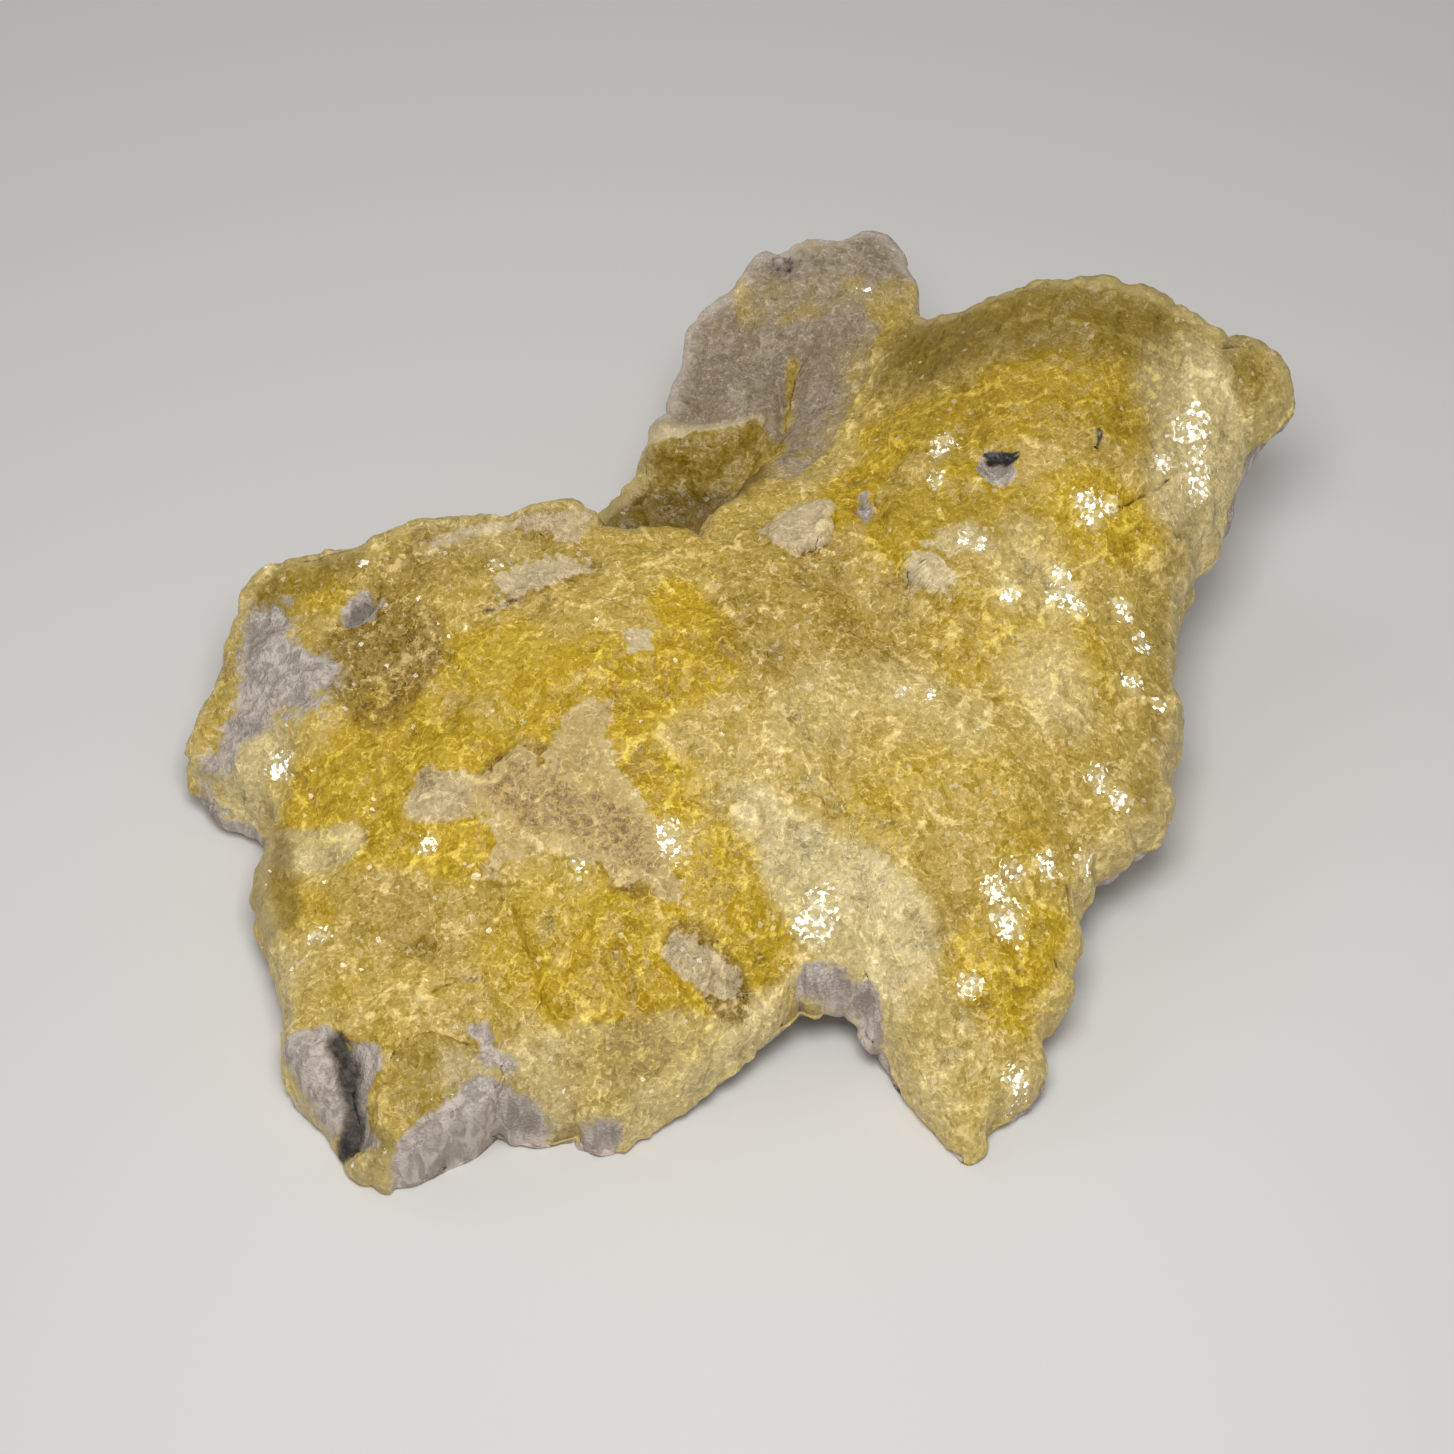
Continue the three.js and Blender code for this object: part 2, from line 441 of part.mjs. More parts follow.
// Height of the underside: never below the ground, and never too near the top
const FOOT_SPOTS = OUTLINE.map((row) => {
  const station = rimStation(...row);
  return [...between(station, station.footAt), station.foot];
});
const UNDER_HEIGHTS = [...UNDER_SPOTS, ...FOOT_SPOTS];
function underHeight(x, y) {
  const hollow = groundHeight(x, y, UNDER_HEIGHTS, CRUST_REACH);
  return Math.max(Math.min(hollow, topHeight(x, y) - LEAST_THICKNESS), 0);
}

// The outline as a closed curve through its points, cut into count steps. The steps share out its
// length and the angle it turns about MIDDLE, so that no stretch is sampled too thinly.
function sampleOutline(count) {
  const curve = [];
  OUTLINE.forEach((p1, i) => {
    const at = (k) => OUTLINE[(i + k + OUTLINE.length) % OUTLINE.length];
    const [p0, p2, p3] = [at(-1), at(1), at(2)];
    for (let step = 0; step < SPLINE_STEPS; step++) {
      const t = step / SPLINE_STEPS;
      curve.push(
        p1.map(
          (v, k) =>
            v +
            0.5 * (p2[k] - p0[k]) * t +
            0.5 * (2 * p0[k] - 5 * v + 4 * p2[k] - p3[k]) * t * t +
            0.5 * (3 * v - p0[k] - 3 * p2[k] + p3[k]) * t * t * t,
        ),
      );
    }
  });
  curve.push(curve[0]);
  const lengthShare = 0.6;
  const run = [0];
  const turn = [0];
  for (let i = 1; i < curve.length; i++) {
    const [ax, ay] = curve[i - 1];
    const [bx, by] = curve[i];
    const from = Math.atan2(ay - MIDDLE[1], ax - MIDDLE[0]);
    const angle = Math.atan2(by - MIDDLE[1], bx - MIDDLE[0]) - from;
    const clockwise = -Math.atan2(Math.sin(angle), Math.cos(angle));
    run.push(run[i - 1] + Math.hypot(bx - ax, by - ay));
    turn.push(turn[i - 1] + Math.max(clockwise, 0));
  }
  const last = curve.length - 1;
  const share = run.map(
    (v, i) => (lengthShare * v) / run[last] + ((1 - lengthShare) * turn[i]) / turn[last],
  );
  const stations = [];
  let span = 0;
  for (let i = 0; i < count; i++) {
    while (share[span + 1] < i / count) span++;
    const t = (i / count - share[span]) / (share[span + 1] - share[span]);
    stations.push(rimStation(...curve[span].map((v, k) => v + t * (curve[span + 1][k] - v))));
  }
  return stations;
}

// The station a share of the way between two sampled ones
function stationAt(stations, index) {
  const low = Math.floor(index) % stations.length;
  const a = stations[low];
  const b = stations[(low + 1) % stations.length];
  const t = index - Math.floor(index);
  return Object.fromEntries(Object.keys(a).map((key) => [key, a[key] + t * (b[key] - a[key])]));
}

// The point of a line nearest to (x, y)
function nearestOn(line, x, y) {
  let best = line[0];
  line.slice(1).forEach(([bx, by], i) => {
    const [ax, ay] = line[i];
    const along = ((x - ax) * (bx - ax) + (y - ay) * (by - ay)) / ((bx - ax) ** 2 + (by - ay) ** 2);
    const t = Math.min(Math.max(along, 0), 1);
    const point = [ax + t * (bx - ax), ay + t * (by - ay)];
    if (Math.hypot(x - point[0], y - point[1]) < Math.hypot(x - best[0], y - best[1])) best = point;
  });
  return best;
}

// (x, y) drawn in towards the crest when it is near, so that edges of the mesh run along the crest
function drawnToCrest(x, y) {
  const [cx, cy] = nearestOn(CREST, x, y);
  const share = Math.min(Math.hypot(x - cx, y - cy) / DRAW_REACH, 1);
  return [cx + share * (x - cx), cy + share * (y - cy)];
}

// One ring of points of a disc, SECTORS * ring of them, reaching out to the crest or to the foot
function discRing(stations, ring, rings, reachKey, heightAt, placed = (x, y) => [x, y]) {
  const count = SECTORS * ring;
  const points = [];
  for (let i = 0; i < count; i++) {
    const station = stationAt(stations, (i * stations.length) / count);
    const [x, y] = placed(...between(station, (ring / rings) * station[reachKey]));
    points.push([x, y, heightAt(x, y)]);
  }
  return points;
}

// The faces between ring k - 1 and ring k of a disc, as triples of vertex numbers
function discFaces(outer, inner, ring, add) {
  const insideCount = Math.max(SECTORS * (ring - 1), 1);
  for (let sector = 0; sector < SECTORS; sector++) {
    for (let t = 0; t < ring; t++) {
      const a = outer(sector * ring + t);
      const b = outer((sector * ring + t + 1) % (SECTORS * ring));
      const c = inner((sector * (ring - 1) + t) % insideCount);
      add(a, b, c);
      if (t < ring - 1) add(b, inner((sector * (ring - 1) + t + 1) % insideCount), c);
    }
  }
}

// Vertices row by row, from the middle of the top over the rim to the middle of the underside
function specimenSurface() {
  const stations = sampleOutline(SECTORS * TOP_RINGS);
  const vertices = [[...MIDDLE, topHeight(...MIDDLE)]];
  const faces = [];
  const roughness = [0];
  const addRow = (row, rough) => {
    const start = vertices.length;
    vertices.push(...row);
    roughness.push(...row.map(() => rough));
    return start;
  };

  let previous = 0;
  let crestRow = [];
  for (let ring = 1; ring <= TOP_RINGS; ring++) {
    const placed = ring < TOP_RINGS ? drawnToCrest : undefined;
    crestRow = discRing(stations, ring, TOP_RINGS, "crestAt", topHeight, placed);
    const start = addRow(crestRow, 0);
    const before = previous;
    discFaces((i) => start + i, (i) => before + i, ring, (a, b, c) => faces.push([b, a, c]));
    previous = start;
  }

  const rimRow = (pointAt, rough) => {
    const start = addRow(stations.map(pointAt), rough);
    for (let i = 0; i < stations.length; i++) {
      const next = (i + 1) % stations.length;
      faces.push([previous + i, start + next, start + i]);
      faces.push([previous + i, previous + next, start + next]);
    }
    previous = start;
  };
  for (let row = 1; row <= SHOULDER_ROWS; row++) {
    const angle = (Math.PI / 2) * (row / SHOULDER_ROWS);
    rimRow((s, i) => {
      const r = s.crestAt + (1 - s.crestAt) * Math.sin(angle);
      const rise = Math.max(crestRow[i][2] - s.edge, 0.1);
      return [...between(s, r), s.edge + rise * Math.cos(angle)];
    }, 0);
  }
  for (let row = 1; row <= TUCK_ROWS; row++) {
    const angle = (Math.PI / 2) * (row / TUCK_ROWS);
    rimRow((s) => {
      const r = s.footAt + (1 - s.footAt) * Math.cos(angle);
      return [...between(s, r), s.edge - (s.edge - s.foot) * Math.sin(angle)];
    }, Math.sin(angle));
  }

  // The foot row is the underside's outer ring, with one more vertex between each two of that ring
  const footRow = previous;
  let outer = (i) => footRow + 2 * i;
  for (let ring = UNDER_RINGS; ring >= 1; ring--) {
    const isCentre = ring === 1;
    const row = isCentre
      ? [[...MIDDLE, underHeight(...MIDDLE)]]
      : discRing(stations, ring - 1, UNDER_RINGS, "footAt", underHeight);
    const start = addRow(row, 1);
    const isFoot = ring === UNDER_RINGS;
    discFaces(outer, (i) => start + i, ring, (a, b, c) => {
      const spansTheFoot = isFoot && a < start && b < start;
      if (!spansTheFoot) {
        faces.push([a, b, c]);
        return;
      }
      faces.push([a, a + 1, c]);
      faces.push([a + 1, b, c]);
    });
    outer = (i) => start + i;
  }
  return { vertices, faces, roughness };
}

// A pseudo-random number from 0 to 1 for a cell of space
function cellNumber(ix, iy, iz, seed) {
  let h =
    Math.imul(ix, 0x8da6b343) ^
    Math.imul(iy, 0xd8163841) ^
    Math.imul(iz, 0xcb1ab31f) ^
    Math.imul(seed, 0x165667b1);
  h ^= h >>> 13;
  h = Math.imul(h, 0x5bd1e995);
  h ^= h >>> 15;
  h = Math.imul(h, 0x2c1b3c6d);
  h ^= h >>> 12;
  return (h >>> 0) / 2 ** 32;
}

// Overlapping domes, one in each cell of space: the value of the highest one at a point
function lumpField([x, y, z], pitch, seed) {
  const at = [x / pitch, y / pitch, z / pitch];
  const cell = at.map(Math.floor);
  let highest = -Infinity;
  for (let n = 0; n < 27; n++) {
    const [ix, iy, iz] = [(n % 3) - 1, (Math.floor(n / 3) % 3) - 1, Math.floor(n / 9) - 1].map(
      (offset, k) => cell[k] + offset,
    );
    const dx = at[0] - ix - cellNumber(ix, iy, iz, seed);
    const dy = at[1] - iy - cellNumber(ix, iy, iz, seed + 1);
    const dz = at[2] - iz - cellNumber(ix, iy, iz, seed + 2);
    const dome = 0.7 * cellNumber(ix, iy, iz, seed + 3);
    highest = Math.max(highest, dome - dx * dx - dy * dy - dz * dz);
  }
  return highest;
}

// Pushes the surface out along its normals, by the lumps and, where it is broken rock, by the rubble.
// What touches the ground stays flat on it.
function addLumps(geometry, roughness) {
  geometry.computeVertexNormals();
  const position = geometry.getAttribute("position");
  const normal = geometry.getAttribute("normal");
  const point = new THREE.Vector3();
  const outward = new THREE.Vector3();
  for (let i = 0; i < position.count; i++) {
    point.fromBufferAttribute(position, i);
    if (point.z === 0) continue;
    outward.fromBufferAttribute(normal, i);
    const field = ({ pitch, height, seed }) => height * lumpField(point.toArray(), pitch, seed);
    const rise = LUMPS.map(field).reduce((sum, value) => sum + value) + roughness[i] * field(RUBBLE);
    point.addScaledVector(outward, rise);
    position.setXYZ(i, point.x, point.y, Math.max(point.z, 0));
  }
}

const { vertices, faces, roughness } = specimenSurface();
const geometry = new THREE.BufferGeometry();
geometry.setAttribute("position", new THREE.Float32BufferAttribute(vertices.flat(), 3));
geometry.setIndex(faces.flat());
addLumps(geometry, roughness);

// The origin is under the middle of the specimen's box, on the ground
geometry.computeBoundingBox();
const middle = geometry.boundingBox.getCenter(new THREE.Vector3());
geometry.translate(-middle.x, -middle.y, 0);
geometry.computeVertexNormals();

const specimen = new THREE.Mesh(
  geometry,
  new THREE.MeshStandardMaterial({ color: 0xc3a63f, roughness: 0.55, metalness: 0 }),
);
specimen.name = "brucite_specimen";

const group = new THREE.Group();
group.add(specimen);
export default group;
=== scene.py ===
# %% [markdown]
# # A brucite specimen
# Brucite is a soft, waxy mineral. This specimen is a lumpy yellow crust that grew on its own broken,
# grey-white base, with an upright stub of that base behind it. It is one natural piece, about 64 mm wide, so
# it is one object here too. The lesson goes from the fixed frame and the camera to the surface's plan, its
# heights and its relief, then to the masks that say what each place is made of, the finish, and the lights.

import bpy
import numpy as np
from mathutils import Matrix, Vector


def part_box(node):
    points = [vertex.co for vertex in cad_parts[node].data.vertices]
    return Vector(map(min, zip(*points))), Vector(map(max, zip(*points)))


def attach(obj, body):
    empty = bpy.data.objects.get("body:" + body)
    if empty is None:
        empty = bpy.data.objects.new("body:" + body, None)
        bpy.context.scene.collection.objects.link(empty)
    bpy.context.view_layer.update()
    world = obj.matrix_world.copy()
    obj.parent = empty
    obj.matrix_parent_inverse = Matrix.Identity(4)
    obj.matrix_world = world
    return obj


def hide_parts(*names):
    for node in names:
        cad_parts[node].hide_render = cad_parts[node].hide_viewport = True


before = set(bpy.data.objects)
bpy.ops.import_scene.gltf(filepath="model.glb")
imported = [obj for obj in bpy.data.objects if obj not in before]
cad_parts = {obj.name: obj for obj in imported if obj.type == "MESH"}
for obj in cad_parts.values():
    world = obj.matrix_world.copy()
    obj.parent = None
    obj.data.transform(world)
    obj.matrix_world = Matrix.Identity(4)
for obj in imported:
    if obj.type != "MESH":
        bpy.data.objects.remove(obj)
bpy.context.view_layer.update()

MM = 0.001  # one millimetre in Blender's metres; the tables and functions below work in millimetres


def in_scene(name, data):
    """A new object in the scene that holds the given mesh, light or camera."""
    made = bpy.data.objects.new(name, data)
    bpy.context.scene.collection.objects.link(made)
    return made


def unit(vectors):
    """Vectors of length 1: each one divided by its own length."""
    return vectors / np.linalg.norm(vectors, axis=-1, keepdims=True)


CAD_LOW, CAD_HIGH = [np.array(corner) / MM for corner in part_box("brucite_specimen")]
print("CAD box:", np.round(CAD_LOW, 2), "to", np.round(CAD_HIGH, 2), "mm")

# %% [markdown]
# ## The camera
# The specimen is seen from the front and well above, from close by, so its near edge looks a little larger
# than its far edge. A long lens from further away would flatten it, so the distance matters as much as the
# angle. The lens is worked out from the width that fits in the picture at the aim point.

# %% The camera
CAMERA_TILT = np.radians(51)  # above the floor
CAMERA_DISTANCE = 187.5
AIM = np.array([-1.1, -3.0, 6.0])
SEEN_WIDTH = 82.6  # millimetres across the picture at the aim point
SENSOR_WIDTH = 36

TO_CAMERA = np.array([0, -np.cos(CAMERA_TILT), np.sin(CAMERA_TILT)])
camera = in_scene("camera", bpy.data.cameras.new("camera"))
camera.data.sensor_width = SENSOR_WIDTH
camera.data.lens = SENSOR_WIDTH * CAMERA_DISTANCE / SEEN_WIDTH
camera.data.clip_start = 0.01
camera.data.clip_end = 20
camera.location = (AIM + CAMERA_DISTANCE * TO_CAMERA) * MM
camera.rotation_euler = Vector(TO_CAMERA).to_track_quat("Z", "Y").to_euler()
bpy.context.scene.camera = camera
print("lens", round(camera.data.lens, 1), "mm, camera at", np.round(camera.location, 3), "m")

# %% [markdown]
# ## Where the flakes face
# Some flakes are to flash at the camera. They must face a point between the main light and the camera, and
# places that are turned away from that point have none.

# %% Where the flakes face
KEY_DISTANCE = 150
KEY_DIRECTION = unit(np.array([0, -0.37, 0.92]))

# halfway in angle between the key light and the camera, as seen from the specimen
FOCUS_DISTANCE = CAMERA_DISTANCE * KEY_DISTANCE / (CAMERA_DISTANCE + KEY_DISTANCE)
FLAKE_FOCUS = AIM + FOCUS_DISTANCE * (KEY_DIRECTION + TO_CAMERA)
print("the flakes face", FLAKE_FOCUS.round(), "mm")

# %% [markdown]
# ## The rim
# Seen from above, the specimen is a ragged patch with a left lobe, a dome at the back right, a spike at the
# front, and the stub behind. Its rim could be drawn as a Bezier curve and filled, but the heights vary along
# it as well. So each point of the rim is a row of five numbers: x, y, the height of the crest of the rim,
# the height of its outermost edge, and the height of its foot below. The rows go round clockwise. A sixth
# number, the same along each stretch, says how strongly the thin edge is scalloped there.

# %% The rim, going round from the left tip over the back
# broken left end, from the tip round to the back
LEFT_TIP = [
    (-31.5, -3.7, 4, 2.5, 1.6), (-31.7, -2.6, 4.4, 3, 2), (-31.1, -1, 5.4, 4, 2.6),
    (-30.2, 1, 6.6, 5.4, 3.2), (-29.2, 2.8, 7.8, 6.8, 3.8), (-28.5, 4.4, 9, 8.2, 4.4),
    (-27.4, 5.5, 10, 9.4, 5),
]
# back edge of the left lobe
LOBE_BACK = [
    (-24.5, 5.6, 10.8, 10.4, 5.6), (-22.7, 5.7, 11.6, 11.2, 6), (-19.8, 5.9, 12.4, 12, 6.4),
    (-17.5, 6.3, 13, 12.6, 6.6), (-14, 6.4, 13.4, 13, 6.6), (-11.2, 6.8, 13.8, 13.4, 6.4),
    (-9.6, 6.9, 14, 13.6, 6), (-8.8, 6.4, 13.4, 13, 5.4),
]
# slab that runs out behind the lobe
SLAB_RIM = [
    (-8.5, 6.9, 9.6, 9.2, 2.6), (-8.2, 7.7, 5.6, 5.4, 0.6), (-8.3, 10.4, 5.2, 5, 0.4),
    (-8.7, 13.1, 5.6, 5.4, 0.4), (-8, 14.1, 6.1, 5.8, 0), (-6.8, 15, 6.9, 6.6, 0),
    (-5.5, 15.8, 7.9, 7.6, 0),
]
# ledge at the foot of the stub
STUB_LEDGE = [
    (-6.1, 16.4, 8.4, 7.7, 0.4), (-5.7, 17, 8.8, 8.2, 0.6), (-5.5, 17.7, 9.4, 8.8, 0.6),
    (-4.3, 17.9, 10.2, 9.6, 0.4),
]
# stub
STUB_RIM = [
    (-4.2, 18.8, 10.6, 10.2, 0.2), (-3.8, 21, 11, 10.6, 0), (-3.3, 23.4, 11.6, 11.2, 0.4),
    (-2.6, 24.7, 12, 11.6, 0), (-0.4, 26, 12.6, 12.2, 0), (0.5, 27.8, 13, 12.6, 0),
    (1.4, 28.6, 13.4, 13, 0), (2.3, 28.4, 13.4, 13, 0), (3.5, 29.1, 13.6, 13.2, 0),
    (5.5, 29.4, 13.8, 13.4, 0), (7.4, 29.8, 13.8, 13.4, 0), (8.7, 29.6, 13.6, 13.2, 0),
    (9.6, 28.6, 13.4, 13, 0), (10, 27.2, 13.2, 12.8, 0.6), (10.5, 26, 13, 12.6, 1.4),
    (10.5, 24.7, 12.8, 12.4, 2.6), (10.4, 23.2, 13, 12.6, 4),
]
# back of the dome
DOME_BACK = [
    (11.1, 21.6, 14.6, 13.8, 5), (12.9, 20.5, 16.4, 15.8, 6), (15.4, 19.7, 18.2, 17.6, 7.4),
    (17.7, 19.5, 19.4, 18.8, 8.4), (19.6, 19.2, 19.8, 19.4, 9.2), (21.5, 18.9, 19.8, 19.4, 9.8),
    (23.7, 18.4, 19.3, 18.8, 10), (25.3, 18, 18.4, 17.9, 10), (26.8, 17.5, 17.4, 16.9, 10),
    (28, 17.2, 16.6, 16.2, 10), (28.3, 16.8, 16.2, 15.9, 10.2),
]
# knob at the end of the dome
END_KNOB = [
    (28.9, 17.7, 16, 15.6, 10.4), (30, 17.9, 15.8, 15.3, 10.6), (30.9, 17.3, 15.5, 15, 10.6),
    (31.5, 16.2, 15.1, 14.4, 10.4), (31.7, 15.3, 14.4, 13.6, 10), (31.3, 14.8, 14, 13, 9.6),
    (30.6, 14.3, 13.7, 12.6, 9.2), (29.4, 13.6, 13.4, 12.2, 8.8),
]
# scalloped right edge, down to the shoulder
RIGHT_RIM = [
    (29, 12.6, 13.2, 11.8, 8.4), (28.6, 11.2, 12.8, 11.2, 8), (27.5, 9.3, 12.2, 10.6, 7.4),
    (27.1, 7.8, 11.6, 10, 6.8), (26.3, 6.8, 11.2, 9.6, 6.4), (26.1, 5.8, 10.9, 9.3, 6.2),
    (25.4, 4.6, 10.5, 8.8, 5.8), (24.7, 3.3, 10.2, 8.5, 5.6), (24.4, 1.6, 9.8, 8.1, 5.2),
    (24.7, 0.3, 9.5, 7.8, 5), (24, -1.7, 9, 7.4, 4.6), (24.4, -2.7, 8.8, 7.2, 4.6),
    (24.4, -4.5, 8.5, 6.9, 4.4), (23.9, -5.7, 8.2, 6.6, 4), (23.9, -6.4, 8.1, 6.5, 4),
    (23.3, -7.5, 7.8, 6.2, 3.6), (23.4, -9.1, 7.5, 6, 3.6), (22.8, -10.3, 7.2, 5.8, 3.4),
    (21.2, -11.1, 7, 5.5, 3), (20.7, -11.8, 6.8, 5.3, 2.8), (19.5, -12.4, 6.6, 5.1, 2.6),
]
# right edge of the spike
SPIKE_RIGHT = [
    (19.1, -13.4, 6.4, 4.8, 2.4), (18.1, -15.1, 6, 4.4, 2), (18.4, -16.5, 5.7, 4.1, 2),
    (18, -18, 5.4, 3.8, 1.8), (17.2, -19, 5.2, 3.5, 1.4), (17.2, -20, 5, 3.3, 1.4),
    (16.7, -21.1, 4.6, 2.9, 1), (15.9, -22.1, 4.2, 2.4, 0.6), (16, -23.5, 3.6, 1.9, 0.4),
    (15.4, -24.5, 3, 1.4, 0), (13.8, -25.6, 2.4, 0.9, 0), (12.9, -26.9, 1.8, 0.5, 0),
    (11.9, -28, 1.3, 0.3, 0),
]
# left edge of the spike
SPIKE_LEFT = [
    (11, -27, 1.6, 0.3, 0), (10.1, -25.4, 2.2, 0.5, 0), (9.2, -23.8, 2.9, 0.9, 0.2),
    (8.5, -22.5, 3.6, 1.4, 0.8), (7.9, -21.9, 4.6, 2.2, 1.8),
]
# lifted notch between spike and lobe
NOTCH = [
    (7.2, -21.7, 5.2, 2.6, 2.2), (6.6, -20.7, 5.6, 2.8, 2.4), (5.8, -20.2, 6, 3, 2.6),
    (4.9, -20.1, 6.2, 3, 2.6), (3.8, -20.4, 6, 3, 2.6),
]
# front edge of the left lobe
LOBE_FRONT = [
    (2.9, -20.4, 5.6, 3, 2.6), (2.3, -21.1, 5, 3, 2.4), (1.3, -22.1, 4.4, 2.6, 2),
    (0.2, -22.7, 4, 2.2, 1.6), (-1, -23.3, 3.6, 1.9, 1.2), (-2.3, -24.4, 3.3, 1.5, 0.8),
    (-3.4, -25.2, 3, 1.1, 0.4), (-5, -26, 2.8, 0.7, 0),
]
# broken front wall
FRONT_WALL = [
    (-6.6, -26.9, 2.5, 0.4, 0), (-7.7, -27.4, 2.3, 0.3, 0), (-8.5, -27, 2.4, 0.3, 0),
    (-9, -26.3, 3, 0.3, 0), (-10.6, -26.7, 3.4, 0.3, 0), (-12.2, -27, 3.8, 0.3, 0),
    (-13.4, -26.7, 4.4, 0.3, 0), (-14.1, -27.7, 4.4, 0.3, 0), (-15.6, -28.5, 4.2, 0.3, 0),
    (-17.2, -29.2, 3.6, 0.3, 0),
]
# corner rock
CORNER = [
    (-18.5, -29.5, 2.2, 0.3, 0), (-19.8, -29.3, 1.6, 0.3, 0), (-20.6, -28.6, 1.6, 0.3, 0),
    (-21.2, -27.7, 2.2, 0.4, 0), (-22.4, -26.4, 3.4, 0.6, 0), (-23.6, -24.7, 4.2, 0.9, 0),
    (-24.2, -23.1, 4.6, 1.2, 0),
]
# left edge
LEFT_RIM = [
    (-24.3, -21.6, 4.8, 1.5, 0), (-24.8, -19.6, 4.6, 1.8, 0.6), (-25.4, -17.5, 4.8, 2.2, 1),
    (-25.9, -15.5, 5, 2.6, 1.4), (-26.5, -13.6, 5.2, 2.8, 1.6), (-26.4, -12.1, 5.3, 2.8, 1.6),
    (-26, -10.1, 5.3, 2.9, 1.6), (-25.9, -9.3, 5.2, 2.9, 1.6), (-26.5, -7.8, 5, 2.8, 1.6),
    (-27.6, -6.5, 4.8, 2.6, 1.4), (-28.9, -5.7, 4.4, 2.4, 1.4), (-30.3, -4.7, 4.2, 2.4, 1.4),
]
SCALLOPED = [  # each stretch of the rim with the share of the full scallops that it has
    (LEFT_TIP, 0.5), (LOBE_BACK, 0.5), (SLAB_RIM, 0.4), (STUB_LEDGE, 0.4), (STUB_RIM, 0.6), (DOME_BACK, 0.5),
    (END_KNOB, 0.8), (RIGHT_RIM, 1), (SPIKE_RIGHT, 1), (SPIKE_LEFT, 0.6), (NOTCH, 0.4), (LOBE_FRONT, 0.8),
    (FRONT_WALL, 0.6), (CORNER, 0.4), (LEFT_RIM, 0.8),
]
OUTLINE = np.array([row + (share,) for rows, share in SCALLOPED for row in rows])
MIDDLE = np.array([1.9, -3.0])  # nearly every part of the rim can be seen from here
print(len(OUTLINE), "points on the rim")

# %% [markdown]
# ## The ground between
# Inside the rim the height is known at a few dozen places, like the spot heights on a map. The crust in front
# and the stub behind are two separate grounds, because the crust breaks off above the stub along a crest. The
# underside has spots of its own. Where one of them is below zero, the base is broken flat on the ground.

# %% Spot heights
CRUST_SPOTS = [
    (-27.6, 0.7, 8.4), (-25.5, 3.1, 10), (-25, -3.5, 9), (-28, -5.8, 5.2), (-22.8, 3.8, 11.3),
    (-9.7, 4.9, 13.9), (-10.4, 0.8, 13.4), (-6, 4.2, 13.4), (-2.6, 4.2, 13.4), (-5.1, -0.1, 13.6),
    (-16, -0.5, 12.4), (-22.5, -9.1, 8), (-23.5, -11.7, 6.9), (-16.9, -6.9, 10.6), (-8.1, -4.1, 13.2),
    (-2.6, -3, 13.6), (-15.6, -11.2, 9.8), (-10.1, -11.4, 10.9), (-5.8, -10.2, 12), (-0.4, -9.1, 12.4),
    (-5.2, -15.5, 10.2), (-22.8, -14.6, 6.2), (-14.4, -15.5, 8.4), (-22.4, -20.7, 5.4),
    (-10, -18.5, 8.8), (-6.8, -19.4, 9.2), (-8.3, -23, 6.9), (-4.6, -22.9, 6.8), (-6.8, -25, 5.2),
    (-2.5, -24.6, 4.6), (-10.9, -25.8, 5.5), (-16.3, -24.1, 5.8), (-22.1, -24.2, 5),
    (-16.1, -28.4, 4.8), (-18.3, -28.2, 3.9), (-13, -27.7, 4.6), (-5.7, -26.3, 3.9), (-7.8, -27, 3.5),
    (-0.4, -22.5, 4.8), (-1.5, -20.1, 7.4), (2.8, -14.9, 10.2), (5.5, -17.3, 9), (5.5, -19.6, 7.2),
    (0.7, -16.6, 9.8), (8.2, -15.8, 9.6), (2.8, 5.5, 13.3), (6.4, 3.3, 13.2), (4.9, 13.4, 11.6),
    (7.1, 9.6, 13), (6.2, 17.7, 11.4), (9, 13.7, 13.8), (9.8, 20, 13.2), (8.6, 4.6, 14.2),
    (10.5, 10.5, 15.4), (11.9, 15.7, 15.8), (14.7, 16.6, 17.4), (18.1, 17.3, 18.9), (20.9, 16.4, 19.2),
    (23.8, 16, 18.4), (26.8, 14.9, 16.6), (29.5, 14.7, 15.2), (14.4, 10.3, 16.4), (17.8, 9.5, 16.4),
    (21.3, 10.3, 16.4), (27, 10.5, 13.8), (12, 4.3, 14.6), (17, 3.7, 14.4), (21, 3.7, 13.6),
    (24.4, 5.5, 12.4), (11.8, -1.9, 12.3), (18.5, -2.4, 12), (22, -1.3, 10.8), (13.8, -7.5, 11.3),
    (17.7, -7.6, 10.6), (21.1, -8, 9.3), (15.9, -12.4, 9.6), (19.9, -11.5, 8), (13.5, -16.4, 8.7),
    (16.3, -17.4, 7.3), (9.7, -18.3, 8.6), (9.7, -21.4, 7), (13.4, -20.8, 6.6), (8.1, -22, 6.4),
    (10.7, -24, 5.2), (13.7, -24, 4.2), (11.3, -26.1, 3.1), (11.9, -27.6, 2),
]

